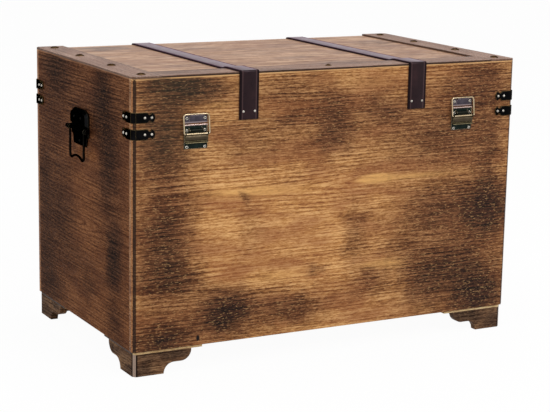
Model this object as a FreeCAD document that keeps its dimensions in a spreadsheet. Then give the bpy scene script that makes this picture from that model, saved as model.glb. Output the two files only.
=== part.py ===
import FreeCAD, Part
import Sketcher
import math
import os
from types import SimpleNamespace

# Sea chest: a boarded box on four bracket feet with a shallow hinged lid, two
# leather straps, two loop latches, a drop handle on each side, bent corner
# brackets and two butt hinges behind.
#
# Millimetres, +Z up, +X to the right as one faces the front, which looks along -Y.
# The origin is on the floor under the middle of the whole outline.

doc = FreeCAD.newDocument("sea_chest")
sheet = doc.addObject("Spreadsheet::Sheet", "dims")

SIZES = [
    # carcass
    ("width", 670.0, "overall width of the box"),
    ("depth", 400.0, "overall depth of the box"),
    ("wall", 12.0, "thickness of the wall boards and lid rails"),
    ("floor_thick", 6.0, "thickness of the bottom panel"),
    ("carcass_rise", 339.3, "height of the walls"),
    ("corner_flat", 5.0, "flat planed along each upright corner"),
    # feet
    ("foot_rise", 34.5, "height of the foot boards"),
    ("foot_thick", 12.0, "thickness of a foot board"),
    ("foot_inset", 2.5, "the feet stand back from the box by this"),
    ("foot_toe", 49.5, "length of the foot board where it stands on the floor"),
    ("foot_cove", 16.5, "radius of the hollow above the toe"),
    ("foot_shelf", 12.0, "level run between hollow and lobe"),
    ("foot_lobe", 17.0, "radius of the round lobe"),
    ("cap_thick", 4.0, "thickness of the cap over each foot"),
    ("cap_reach", 113.0, "length of each arm of the cap"),
    ("cap_lap", 5.0, "the cap is wider than the foot board by this"),
    # lid
    ("seam", 0.3, "gap between walls and lid"),
    ("rail_rise", 68.9, "height of the lid rails"),
    ("top_thick", 4.0, "thickness of the top board"),
    ("rim_width", 47.0, "width of the strips on the top"),
    ("rim_thick", 3.0, "thickness of those strips"),
    # straps
    ("strap_width", 32.0, "width of a strap"),
    ("strap_thick", 2.6, "thickness of the leather"),
    ("strap_inset", 187.0, "strap centre from the side of the chest"),
    ("strap_end", 0.6, "a strap stops above the rail's lower edge by this"),
    ("strap_fall", 14.0, "behind the front strip a strap comes down over this length"),
    ("strap_ease", 0.6, "a strap's outer bend is wider than its thickness by this"),
    # corner brackets
    ("bracket_thick", 1.5, "metal of the corner brackets"),
    ("bracket_height", 15.4, "height of a bracket at the corner"),
    ("bracket_neck", 26.5, "waist of a bracket, from the corner"),
    ("bracket_waist", 9.2, "height of the waist"),
    ("bracket_notch", 4.0, "half the length of the notches that make the waist"),
    ("bracket_flare", 14.9, "height of the flared end"),
    ("bracket_end", 35.2, "reach of a bracket from the corner"),
    ("bracket_gap", 4.4, "bracket edge from the seam"),
    # latch base plate
    ("latch_inset", 100.0, "latch and hinge centre from the side of the chest"),
    ("plate_width", 38.0, "width of the latch plates"),
    ("plate_height", 36.5, "height of the latch base plate"),
    ("sheet_metal", 1.2, "metal of the latch plates"),
    ("plate_drop", 1.1, "base plate stops below the wall's top by this"),
    ("plate_roll", 1.05, "radius of the rolled top edge of the base plate"),
    ("side_rim", 2.2, "height of the side rims off the wall"),
    ("side_rim_thick", 1.0, "thickness of the side rims"),
    ("side_rim_start", 10.0, "the side rims start above the plate's foot by this"),
    ("pin_drop", 9.8, "lever pin below the wall's top"),
    ("pin_out", 3.4, "lever pin off the wall"),
    ("pin_radius", 0.9, "radius of the lever pin"),
    ("pin_play", 0.08, "radial play on the pins"),
    ("ear_place", 10.2, "inner face of the latch ears from the latch centre"),
    ("ear_thick", 1.2, "thickness of the latch ears"),
    ("ear_root", 3.3, "half the height of an ear where it leaves the plate"),
    ("ear_nose", 2.2, "radius of an ear round the pin"),
    # latch lever
    ("barrel_radius", 1.9, "outer radius of the lever's barrel"),
    ("side_play", 0.3, "end play beside barrels, eyes and knuckles"),
    ("lever_back", 2.7, "inner face of the closed lever off the wall"),
    ("lever_sheet", 1.1, "metal of the lever"),
    ("lever_half", 18.4, "half the width of the lever"),
    ("lever_drop", 10.2, "length of the lever's bowed part"),
    ("lever_bow", 7.7, "radius of the lever's bow"),
    ("lip_reach", 3.2, "reach of the lever's finger lip"),
    ("lip_fall", 2.2, "fall of the finger lip"),
    ("lug_thick", 0.9, "thickness of the lugs that hold the loop"),
    ("lug_radius", 2.6, "outer radius of the lugs"),
    ("lug_root", 4.0, "the lugs' roots reach below the bow's upper edge by this"),
    ("bow_drop", 1.5, "the bow starts below the loop's bar by this"),
    # latch loop
    ("bar_drop", 5.0, "loop's lower bar below the lever pin"),
    ("bar_out", 2.6, "loop's lower bar in front of the lever pin"),
    ("loop_wire", 1.2, "radius of the loop's wire"),
    ("loop_half", 20.6, "half the width of the loop, at the wire's centre"),
    ("loop_rise", 28.8, "height of the loop, at the wire's centre"),
    ("loop_bend", 1.5, "the loop's corners are cut off by this, at the wire's centre"),
    ("loop_lean", 6.5, "lean of the closed loop towards the lid, in degrees"),
    ("loop_play", 0.12, "radial play of the loop in its lugs"),
    # latch keeper
    ("keeper_foot", 0.3, "keeper plate starts above the rail's lower edge by this"),
    ("keeper_lap", 0.5, "keeper plate reaches above the hook's underside by this"),
    ("hook_half", 10.5, "half the width of the keeper's hook"),
    ("hook_root", 0.6, "the hook's ramp starts above the plate's foot by this"),
    ("hook_ramp", 1.4, "rise of the ramp off the plate"),
    ("hook_sheet", 1.0, "metal of the hook"),
    ("hook_play", 0.3, "gap under the loop's upper bar"),
    ("hook_slack", 0.4, "gap in front of the loop's upper bar"),
    ("hook_lip", 0.8, "the hook's lip stands above its shelf by this"),
    # hinges
    ("hinge_width", 58.0, "width of the hinges"),
    ("leaf_height", 27.0, "height of a hinge leaf from the pin's centre"),
    ("leaf_thick", 1.5, "metal of the hinge leaves"),
    ("knuckle_radius", 3.2, "outer radius of the hinge knuckles"),
    ("knuckle_off", 0.2, "knuckles stand off the back by this"),
    ("hinge_pin", 1.7, "radius of the hinge pins"),
    # handle plates
    ("handle_top", 1.4, "handle plate's top below the wall's top"),
    ("handle_width", 69.0, "width of the handle plate"),
    ("handle_side", 32.4, "height of the handle plate's upright sides"),
    ("handle_crown", 9.0, "rise of the plate's domed top"),
    ("tail_drop", 15.0, "length of the plate's narrow tail"),
    ("tail_width", 54.0, "width of the tail"),
    ("tail_hollow", 4.0, "the tail narrows over this height and width"),
    ("tail_round", 3.0, "the tail's corners are cut off by this"),
    ("handle_thick", 2.6, "thickness of the handle plate"),
    ("field_rise", 3.8, "height of the raised field on the plate"),
    ("field_edge", 0.8, "plain border round the raised field"),
    ("field_gap", 1.5, "plain border between the raised field and the ears"),
    ("field_slope", 40.0, "lean of the raised field's sides, in degrees"),
    ("rod_out", 7.4, "handle rod off the wall"),
    ("rod_drop", 32.5, "handle rod below the wall's top"),
    ("rod_radius", 1.9, "radius of the handle rod"),
    ("knob_radius", 3.3, "radius of the knobs on the rod"),
    ("knob_length", 6.5, "length of a knob"),
    ("post_thick", 3.0, "thickness of the plate's ears"),
    ("post_radius", 4.0, "nose radius of the plate's ears"),
    # drop bails
    ("bail_drop", 47.0, "drop of the bail from the rod to its lowest bend"),
    ("bail_radius", 1.9, "radius of the bail's bar"),
    ("bail_arch", 5.5, "rise of the grip in its middle"),
    ("bail_bend", 5.0, "the corners between legs and grip are cut off by this"),
    ("eye_radius", 3.6, "outer radius of the bail's eyes"),
    ("eye_half", 2.8, "half the width of an eye"),
    ("eye_lap", 1.2, "the legs run into the eyes by this"),
]

sheet.set("A1", "size")
sheet.set("B1", "mm or degrees")
for row, (alias, number, meaning) in enumerate(SIZES, start=2):
    sheet.set("A%d" % row, alias)
    sheet.set("B%d" % row, "%g" % number)
    sheet.set("C%d" % row, meaning)
    sheet.setAlias("B%d" % row, alias)
doc.recompute()


class Size:
    """A length held both as a formula over the sheet and as its number today."""

    def __init__(self, text, number):
        self.text = text
        self.number = float(number)

    @staticmethod
    def of(value):
        return value if isinstance(value, Size) else Size("%.6g" % value, value)

    def join(self, sign, other, number):
        return Size("(%s %s %s)" % (self.text, sign, other.text), number)

    def __add__(self, other):
        other = Size.of(other)
        return self.join("+", other, self.number + other.number)

    def __sub__(self, other):
        other = Size.of(other)
        return self.join("-", other, self.number - other.number)

    def __mul__(self, other):
        other = Size.of(other)
        return self.join("*", other, self.number * other.number)

    def __truediv__(self, other):
        other = Size.of(other)
        return self.join("/", other, self.number / other.number)

    def __radd__(self, other):
        return Size.of(other) + self

    def __rsub__(self, other):
        return Size.of(other) - self

    def __rmul__(self, other):
        return Size.of(other) * self

    def __neg__(self):
        return Size("(0 - %s)" % self.text, -self.number)


def root(value):
    return Size("sqrt(%s)" % value.text, math.sqrt(value.number))


def sine(angle):
    return Size("sin(%s * 1 deg)" % angle.text, math.sin(math.radians(angle.number)))


def cosine(angle):
    return Size("cos(%s * 1 deg)" % angle.text, math.cos(math.radians(angle.number)))


# d.width, d.depth and so on stand for the cells of the sheet
d = SimpleNamespace(**{a: Size("dims.%s" % a, sheet.get(a)) for a, number, meaning in SIZES})


# ---------------------------------------------------------------- helpers

def bind(thing, name, value):
    """Tie one property to the sheet."""
    thing.setExpression(name, Size.of(value).text)


def place(thing, x=0.0, y=0.0, z=0.0):
    """Tie a piece's place to the sheet."""
    for axis, value in zip("xyz", (x, y, z)):
        bind(thing, ".Placement.Base.%s" % axis, value)


def new_body(name):
    body = doc.addObject("PartDesign::Body", name)
    body.Label = name
    return body


def new_sketch(body, name, role, offset=None, rise=None):
    """A sketch on an origin plane of its body, moved along the plane's normal by the
    offset and up the plane by the rise."""
    sketch = body.newObject("Sketcher::SketchObject", name)
    plane = [f for f in body.Origin.OriginFeatures if f.Role == role][0]
    sketch.AttachmentSupport = [(plane, "")]
    sketch.MapMode = "FlatFace"
    if offset is not None:
        bind(sketch, ".AttachmentOffset.Base.z", offset)
    if rise is not None:
        bind(sketch, ".AttachmentOffset.Base.y", rise)
    return sketch


def dimension(sketch, label, value, *constraint):
    """Add one dimension to a sketch and tie it to the sheet."""
    index = sketch.addConstraint(Sketcher.Constraint(*constraint, value.number))
    sketch.renameConstraint(index, label)
    sketch.setExpression("Constraints.%s" % label, value.text)


def arc_between(start, end, radius):
    """The shorter arc from start to end, turning left where the radius is positive and
    right where it is negative."""
    chord = end - start
    left = FreeCAD.Vector(-chord.y, chord.x, 0).normalize()
    rise = math.sqrt(max(radius * radius - chord.Length ** 2 / 4, 0.0))
    centre = (start + end) * 0.5 + left * (rise if radius > 0 else -rise)
    first, last = (start, end) if radius > 0 else (end, start)
    a = math.atan2(first.y - centre.y, first.x - centre.x)
    b = math.atan2(last.y - centre.y, last.x - centre.x)
    circle = Part.Circle(centre, FreeCAD.Vector(0, 0, 1), abs(radius))
    return Part.ArcOfCircle(circle, a, b if b > a else b + 2 * math.pi)


def draw(sketch, path, closed=True):
    """Outline or path through points: (x, y) before a straight edge, or (x, y, radius)
    before an arc."""
    count = len(path)
    corners = [(Size.of(p[0]), Size.of(p[1])) for p in path]
    points = [FreeCAD.Vector(x.number, y.number, 0) for x, y in corners]
    radii = [Size.of(p[2]) if len(p) > 2 else None for p in path]
    curves = []
    for i in range(count if closed else count - 1):
        here, there = points[i], points[(i + 1) % count]
        if radii[i] is None:
            curve = Part.LineSegment(here, there)
        else:
            curve = arc_between(here, there, radii[i].number)
        index = sketch.addGeometry(curve, False)
        turned = radii[i] is not None and radii[i].number < 0
        curves.append((index, 2, 1) if turned else (index, 1, 2))
    for i, (index, start, end) in enumerate(curves):
        if closed or i + 1 < len(curves):
            after = curves[(i + 1) % len(curves)]
            sketch.addConstraint(
                Sketcher.Constraint("Coincident", index, end, after[0], after[1]))
        x, y = corners[i]
        dimension(sketch, "x_%d" % index, x, "DistanceX", -1, 1, index, start)
        dimension(sketch, "y_%d" % index, y, "DistanceY", -1, 1, index, start)
        if radii[i] is not None:
            radius = radii[i] if radii[i].number > 0 else -radii[i]
            dimension(sketch, "r_%d" % index, radius, "Radius", index)
    if not closed:
        index, start, end = curves[-1]
        dimension(sketch, "x_end", corners[-1][0], "DistanceX", -1, 1, index, end)
        dimension(sketch, "y_end", corners[-1][1], "DistanceY", -1, 1, index, end)


def ring(sketch, x, y, radius):
    """A full circle."""
    x, y, radius = Size.of(x), Size.of(y), Size.of(radius)
    middle = FreeCAD.Vector(x.number, y.number, 0)
    circle = Part.Circle(middle, FreeCAD.Vector(0, 0, 1), radius.number)
    index = sketch.addGeometry(circle, False)
    dimension(sketch, "x_%d" % index, x, "DistanceX", -1, 1, index, 3)
    dimension(sketch, "y_%d" % index, y, "DistanceY", -1, 1, index, 3)
    dimension(sketch, "r_%d" % index, radius, "Radius", index)


def box_path(x0, x1, y0, y1):
    return [(x0, y0), (x1, y0), (x1, y1), (x0, y1)]


def pad(body, name, sketch, length, both_ways=False, backwards=False):
    feature = body.newObject("PartDesign::Pad", name)
    feature.Profile = sketch
    bind(feature, "Length", length)
    feature.SideType = "Symmetric" if both_ways else "One side"
    feature.Reversed = backwards
    return feature


def cut_through(body, name, sketch):
    """Cut right through the body, both ways from the sketch."""
    feature = body.newObject("PartDesign::Pocket", name)
    feature.Profile = sketch
    feature.Type = "ThroughAll"
    feature.SideType = "Symmetric"
    return feature


def sweep(body, name, section, path):
    """Run a section along a path of straight stretches with mitred bends."""
    feature = body.newObject("PartDesign::AdditivePipe", name)
    feature.Profile = section
    feature.Spine = path
    feature.Transition = "Right corner"
    return feature


def plain_board(name, length, width, height, x, y, z):
    board = doc.addObject("Part::Box", name)
    board.Label = name
    for prop, value in (("Length", length), ("Width", width), ("Height", height)):
        bind(board, prop, value)
    place(board, x, y, z)
    return board


def mirrored(source, name, across_width=False):
    """The piece again, to the right of the chest's middle or else behind it."""
    piece = doc.addObject("Part::Mirroring", name)
    piece.Label = name
    piece.Source = source
    piece.Normal = (1, 0, 0) if across_width else (0, 1, 0)
    bind(piece, ".Base.y", middle_y)
    return piece


def at_all_corners(source, name):
    """The front left piece is there, and the other three are made from it."""
    front_right = mirrored(source, name % "front_right", across_width=True)
    mirrored(source, name % "rear_left")
    mirrored(front_right, name % "rear_right")


# ---------------------------------------------------------------- levels and planes

cap_bottom = d.foot_rise
carcass_bottom = cap_bottom + d.cap_thick
carcass_top = carcass_bottom + d.carcass_rise
lid_bottom = carcass_top + d.seam
rail_top = lid_bottom + d.rail_rise
rim_top = rail_top + d.rim_thick

# The loop's lugs reach furthest forward and the hinge knuckles furthest back, and the
# origin lies halfway between the two.
front_reach = d.pin_out + d.bar_out + d.lug_radius
axis_back = d.knuckle_off + d.knuckle_radius
rear_reach = axis_back + d.knuckle_radius
middle_y = (front_reach - rear_reach) / 2
front_y = middle_y - d.depth / 2
back_y = middle_y + d.depth / 2
left_x = -d.width / 2
right_x = d.width / 2

latch_place = right_x - d.latch_inset
strap_place = right_x - d.strap_inset
inner_depth = d.depth - d.wall * 2
inner_width = d.width - d.wall * 2


# ---------------------------------------------------------------- boards

def end_board(name, height, z):
    """Full-width board with a flat planed along both upright corners."""
    body = new_body(name)
    plan = new_sketch(body, name + "_plan", "XY_Plane")
    draw(plan, [(left_x, d.corner_flat), (left_x + d.corner_flat, 0),
                (right_x - d.corner_flat, 0), (right_x, d.corner_flat),
                (right_x, d.wall), (left_x, d.wall)])
    pad(body, name + "_rise", plan, height)
    place(body, 0, front_y, z)
    return body


def side_board(name, height, z):
    """Plain board between the front and back boards."""
    return plain_board(name, d.wall, inner_depth, height, left_x, front_y + d.wall, z)


mirrored(end_board("front_panel", d.carcass_rise, carcass_bottom), "back_panel")
mirrored(side_board("left_panel", d.carcass_rise, carcass_bottom), "right_panel",
         across_width=True)
plain_board("bottom_panel", inner_width, inner_depth, d.floor_thick,
            left_x + d.wall, front_y + d.wall, carcass_bottom)

mirrored(end_board("lid_front_rail", d.rail_rise, lid_bottom), "lid_back_rail")
mirrored(side_board("lid_left_rail", d.rail_rise, lid_bottom), "lid_right_rail",
         across_width=True)
plain_board("lid_top_board", inner_width, inner_depth, d.top_thick,
            left_x + d.wall, front_y + d.wall, rail_top - d.top_thick)

# Thin strips are planted on the top: one along each side over the full depth, and one
# between them along the front. The back edge has none.
strip = new_body("left_rim_strip")
strip_plan = new_sketch(strip, "left_rim_strip_plan", "XY_Plane")
draw(strip_plan, [(0, d.corner_flat), (d.corner_flat, 0), (d.rim_width, 0),
                  (d.rim_width, d.depth), (d.corner_flat, d.depth),
                  (0, d.depth - d.corner_flat)])
pad(strip, "left_rim_strip_rise", strip_plan, d.rim_thick)
place(strip, left_x, front_y, rail_top)
mirrored(strip, "right_rim_strip", across_width=True)
plain_board("front_rim_strip", d.width - d.rim_width * 2, d.rim_width, d.rim_thick,
            left_x + d.rim_width, front_y, rail_top)


# ---------------------------------------------------------------- bracket feet

# Ogee edge of a foot board: toe on the floor, a hollow, a level shelf, then a round
# lobe that meets the cap.
cove_end = d.foot_toe + d.foot_cove
lobe_start = cove_end + d.foot_shelf
lobe_drop = d.foot_lobe - (d.foot_rise - d.foot_cove)
foot_length = lobe_start + root(d.foot_lobe * d.foot_lobe - lobe_drop * lobe_drop)


def foot_board(name, along_front):
    """Board of the front left foot, mitred to its neighbour at the corner."""
    body = new_body(name)
    edge = new_sketch(body, name + "_edge", "XZ_Plane" if along_front else "YZ_Plane")
    draw(edge, [(0, 0), (d.foot_toe, 0, -d.foot_cove), (cove_end, d.foot_cove),
                (lobe_start, d.foot_cove, d.foot_lobe), (foot_length, d.foot_rise),
                (0, d.foot_rise)])
    # the front board thickens towards +Y, the side board towards +X
    pad(body, name + "_thickness", edge, d.foot_thick, backwards=along_front)
    mitre = new_sketch(body, name + "_mitre", "XY_Plane")
    half = d.corner_flat / 2
    spare = d.foot_thick
    path = [(-spare, -spare), (d.corner_flat + spare, -spare), (half, half),
            (spare * 2, spare * 2), (-spare, spare * 2)]
    if not along_front:
        path = [(y, x) for x, y in reversed(path)]
    draw(mitre, path)
    cut_through(body, name + "_corner", mitre)
    place(body, left_x + d.foot_inset, front_y + d.foot_inset, 0)
    return body


at_all_corners(foot_board("front_left_foot_end_board", True), "%s_foot_end_board")
at_all_corners(foot_board("front_left_foot_side_board", False), "%s_foot_side_board")

# L-shaped cap between each foot and the box
cap = new_body("front_left_foot_cap")
cap_plan = new_sketch(cap, "foot_cap_plan", "XY_Plane")
cap_width = d.foot_thick + d.cap_lap
draw(cap_plan, [(d.corner_flat, 0), (d.cap_reach, 0), (d.cap_reach, cap_width),
                (cap_width, cap_width), (cap_width, d.cap_reach), (0, d.cap_reach),
                (0, d.corner_flat)])
pad(cap, "foot_cap_rise", cap_plan, d.cap_thick)
place(cap, left_x + d.foot_inset, front_y + d.foot_inset, cap_bottom)
at_all_corners(cap, "%s_foot_cap")


# ---------------------------------------------------------------- corner brackets

def corner_bracket(name, z):
    """Metal strip bent round the corner, with a waist and a round end on each leg."""
    body = new_body(name)
    t = d.bracket_thick
    flat = d.corner_flat
    bend = t * math.tan(math.radians(22.5))
    waist = d.bracket_waist / 2
    high = d.bracket_height / 2
    flare = d.bracket_flare / 2
    notch = d.bracket_notch
    neck = d.bracket_neck
    tip = d.bracket_end
    before, after = neck - notch, neck + notch
    slope = notch / 3
    # the flared end is round, of five short edges whose corners lie on one arc
    crown = ((tip - after) * (tip - after) + flare * flare) / ((tip - after) * 2)
    arc = [(tip - crown + root(crown * crown - flare * flare * part * part), flare * part)
           for part in (1.0, 0.7, 0.25)]
    plan = new_sketch(body, name + "_plan", "XY_Plane")
    draw(plan, [(flat, 0), (tip, 0), (tip, -t), (flat - bend, -t), (-t, flat - bend),
                (-t, tip), (0, tip), (0, flat)])
    pad(body, name + "_strip", plan, d.bracket_height, both_ways=True)
    for leg, role in (("front", "XZ_Plane"), ("side", "YZ_Plane")):
        cut = new_sketch(body, "%s_%s_outline" % (name, leg), role)
        draw(cut, [(before, high), (neck - slope, waist), (neck + slope, waist)]
             + arc + [(x, -z) for x, z in reversed(arc)]
             + [(neck + slope, -waist), (neck - slope, -waist), (before, -high),
                (before, -high - notch), (tip + notch, -high - notch),
                (tip + notch, high + notch), (before, high + notch)])
        cut_through(body, "%s_%s_shape" % (name, leg), cut)
    place(body, left_x, front_y, z)
    return body


bracket_centre = d.bracket_gap + d.bracket_height / 2
at_all_corners(corner_bracket("front_left_lower_bracket", carcass_top - bracket_centre),
               "%s_lower_bracket")
at_all_corners(corner_bracket("front_left_upper_bracket", lid_bottom + bracket_centre),
               "%s_upper_bracket")


# ---------------------------------------------------------------- straps

def strap(name, x):
    """Leather strap down the front, over the front strip, along the board, down the back."""
    body = new_body(name)
    side = new_sketch(body, name + "_side", "YZ_Plane")
    t = d.strap_thick
    ease = d.strap_ease
    low = d.strap_end
    high = rim_top - lid_bottom
    board = rail_top - lid_bottom
    step = d.rim_width
    down = step + d.strap_fall
    far = d.depth
    draw(side, [(-t, low), (0, low), (0, high), (step, high), (down, board), (far, board),
                (far, low), (far + t, low), (far + t, board - ease, t + ease),
                (far - ease, board + t), (down, board + t), (step, high + t),
                (ease, high + t, t + ease), (-t, high - ease)])
    pad(body, name + "_width", side, d.strap_width, both_ways=True)
    place(body, x, front_y, lid_bottom)
    return body


strap("left_strap", -strap_place)
strap("right_strap", strap_place)


# ---------------------------------------------------------------- latches

# Heights from the wall's top, or from the rail's lower edge on the keeper; y from the
# front of the chest. The loop hangs in the lever's lugs and hooks over the keeper.
pin_z = -d.pin_drop
bar_y = -(d.pin_out + d.bar_out)
bar_z = pin_z - d.bar_drop
plate_half = d.plate_width / 2
plate_top = -d.plate_drop
plate_foot = plate_top - d.plate_height
hook_y = bar_y + d.loop_rise * sine(d.loop_lean)
hook_z = bar_z - d.seam + d.loop_rise * cosine(d.loop_lean)


def latch_base(name, x):
    """Base plate with a rolled top edge, side rims, and two ears with the lever's pin."""
    body = new_body(name)
    t = d.sheet_metal
    roll = d.plate_roll
    side = new_sketch(body, name + "_side", "YZ_Plane")
    draw(side, [(0, plate_foot), (0, plate_top), (-t, plate_top, roll),
                (-t - roll, plate_top - roll, roll), (-t, plate_top - roll * 2),
                (-t, plate_foot)])
    pad(body, name + "_plate", side, d.plate_width, both_ways=True)
    rims = new_sketch(body, name + "_rims", "XZ_Plane")
    inner = plate_half - d.side_rim_thick
    start = plate_foot + d.side_rim_start
    draw(rims, box_path(-plate_half, -inner, start, plate_top - roll))
    draw(rims, box_path(inner, plate_half, start, plate_top - roll))
    pad(body, name + "_side_rims", rims, d.side_rim)
    nose = d.ear_nose
    for hand, offset in (("left", -(d.ear_place + d.ear_thick)), ("right", d.ear_place)):
        ear = new_sketch(body, "%s_%s_ear" % (name, hand), "YZ_Plane", offset)
        draw(ear, [(0, pin_z - d.ear_root), (0, pin_z + d.ear_root),
                   (-d.pin_out, pin_z + nose, nose), (-d.pin_out - nose, pin_z, nose),
                   (-d.pin_out, pin_z - nose)])
        pad(body, "%s_%s_ear_pad" % (name, hand), ear, d.ear_thick)
    pin = new_sketch(body, name + "_pin", "YZ_Plane")
    ring(pin, -d.pin_out, pin_z, d.pin_radius)
    pad(body, name + "_pin_pad", pin, d.ear_place * 2 + d.ear_thick, both_ways=True)
    place(body, x, front_y, carcass_top)


def latch_lever(name, x):
    """Bowed lever: barrel on the pin, neck, finger lip, and two lugs for the loop."""
    body = new_body(name)
    t = d.lever_sheet
    back = d.lever_back
    front = back + t
    top = bar_z - d.bow_drop
    low = top - d.lever_drop
    lip = root(d.lip_reach * d.lip_reach + d.lip_fall * d.lip_fall)
    side = new_sketch(body, name + "_side", "YZ_Plane")
    draw(side, [(-back, top, d.lever_bow), (-back, low),
                (-back - d.lip_reach, low - d.lip_fall),
                (-back - d.lip_reach - t * d.lip_fall / lip,
                 low - d.lip_fall + t * d.lip_reach / lip),
                (-front, low + t / 2, -d.lever_bow), (-front, top)])
    pad(body, name + "_bow", side, d.lever_half * 2, both_ways=True)
    width = (d.ear_place - d.side_play) * 2
    neck = new_sketch(body, name + "_neck", "YZ_Plane")
    draw(neck, box_path(-front, -back, top - t, pin_z))
    pad(body, name + "_neck_pad", neck, width, both_ways=True)
    barrel = new_sketch(body, name + "_barrel", "YZ_Plane")
    ring(barrel, -d.pin_out, pin_z, d.barrel_radius)
    pad(body, name + "_barrel_pad", barrel, width, both_ways=True)
    lug = d.lug_radius
    root_z = top - d.lug_root
    for hand, offset in (("left", -d.lever_half), ("right", d.lever_half - d.lug_thick)):
        ear = new_sketch(body, "%s_%s_lug" % (name, hand), "YZ_Plane", offset)
        draw(ear, [(-back, root_z), (-back, bar_z + lug / 3), (bar_y, bar_z + lug, lug),
                   (bar_y - lug, bar_z, lug), (bar_y, bar_z - lug), (-front, root_z)])
        pad(body, "%s_%s_lug_pad" % (name, hand), ear, d.lug_thick)
    bores = new_sketch(body, name + "_bores", "YZ_Plane")
    ring(bores, -d.pin_out, pin_z, d.pin_radius + d.pin_play)
    ring(bores, bar_y, bar_z, d.loop_wire + d.loop_play)
    cut_through(body, name + "_holes", bores)
    place(body, x, front_y, carcass_top)


def latch_loop(name, x):
    """Wire bent to a rectangle with its corners cut off, the lower bar in the lugs."""
    body = new_body(name)
    path = new_sketch(body, name + "_path", "XZ_Plane")
    w, cut, top = d.loop_half, d.loop_bend, d.loop_rise
    draw(path, [(0, 0), (w - cut, 0), (w, cut), (w, top - cut), (w - cut, top),
                (cut - w, top), (-w, top - cut), (-w, cut), (cut - w, 0)])
    wire = new_sketch(body, name + "_wire", "YZ_Plane")
    ring(wire, 0, 0, d.loop_wire)
    sweep(body, name + "_sweep", wire, path)
    place(body, x, front_y + bar_y, carcass_top + bar_z)
    bind(body, ".Placement.Rotation.Angle", d.loop_lean)
    body.Placement.Rotation.Axis = FreeCAD.Vector(-1, 0, 0)


def latch_keeper(name, x):
    """Keeper plate on the lid, its middle bent out to a hook under the loop's upper bar."""
    body = new_body(name)
    t = d.sheet_metal
    shelf = hook_z - d.loop_wire - d.hook_play
    under = shelf - d.hook_sheet
    foot = d.keeper_foot
    plate = new_sketch(body, name + "_face", "XZ_Plane")
    draw(plate, box_path(-plate_half, plate_half, foot, under + d.keeper_lap))
    pad(body, name + "_plate", plate, t)
    ramp = foot + d.hook_root
    inside = hook_y - d.loop_wire - d.hook_slack
    tip = inside - d.hook_sheet
    hook = new_sketch(body, name + "_hook", "YZ_Plane")
    draw(hook, [(0, ramp), (-t, ramp), (-t - d.hook_ramp, under), (tip, under),
                (tip, shelf + d.hook_lip), (inside, shelf + d.hook_lip), (inside, shelf),
                (0, shelf)])
    pad(body, name + "_hook_pad", hook, d.hook_half * 2, both_ways=True)
    place(body, x, front_y, lid_bottom)


# ---------------------------------------------------------------- hinges

KNUCKLES = 3


def hinge_leaf(name, x, lower):
    """Leaf on the back with its share of the knuckles; the lower one carries the pin."""
    body = new_body(name)
    half = d.hinge_width / 2
    gap = d.knuckle_radius + d.side_play
    knuckle = d.hinge_width / KNUCKLES
    face = new_sketch(body, name + "_face", "XZ_Plane")
    draw(face, box_path(-half, half, -d.leaf_height, -gap) if lower
         else box_path(-half, half, gap, d.leaf_height))
    # the leaf lies on the back of the chest, so it thickens towards +Y
    pad(body, name + "_leaf", face, d.leaf_thick, backwards=True)
    for k in range(0 if lower else 1, KNUCKLES, 2):
        play = d.side_play / 2
        start = -half + knuckle * k + (play if k else 0)
        end = -half + knuckle * (k + 1) - (play if k < KNUCKLES - 1 else 0)
        web = new_sketch(body, "%s_web_%d" % (name, k), "YZ_Plane", start)
        draw(web, box_path(0, d.leaf_thick, -gap if lower else 0, 0 if lower else gap))
        pad(body, "%s_web_%d_pad" % (name, k), web, end - start)
        roll = new_sketch(body, "%s_roll_%d" % (name, k), "YZ_Plane", start)
        ring(roll, axis_back, 0, d.knuckle_radius)
        pad(body, "%s_roll_%d_pad" % (name, k), roll, end - start)
    core = new_sketch(body, name + "_core", "YZ_Plane")
    if lower:
        ring(core, axis_back, 0, d.hinge_pin)
        pad(body, name + "_pin", core, knuckle * 2, both_ways=True)
    else:
        ring(core, axis_back, 0, d.hinge_pin + d.pin_play)
        cut_through(body, name + "_bore", core)
    place(body, x, back_y, carcass_top + d.seam / 2)


for hand, x in (("left", -latch_place), ("right", latch_place)):
    latch_base(hand + "_latch_base", x)
    latch_lever(hand + "_latch_lever", x)
    latch_loop(hand + "_latch_loop", x)
    latch_keeper(hand + "_latch_keeper", x)
    hinge_leaf(hand + "_hinge_lower_leaf", x, True)
    hinge_leaf(hand + "_hinge_upper_leaf", x, False)


# ---------------------------------------------------------------- drop handles

# Heights from the wall's top; the left handle is drawn, its plate thickening to -X.
handle_half = d.handle_width / 2
shoulder_z = -(d.handle_top + d.handle_crown)
tail_z = shoulder_z - d.handle_side
rod_z = -d.rod_drop
post_inner = handle_half - d.post_thick
bail_half = post_inner - d.side_play - d.eye_half


def crown(half, rise):
    """Top of a plate from shoulder to shoulder, in five straight edges."""
    side = [(half, shoulder_z), (half * 0.88, shoulder_z + rise * 0.6),
            (half * 0.6, shoulder_z + rise)]
    return side + [(-y, z) for y, z in reversed(side)]


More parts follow.
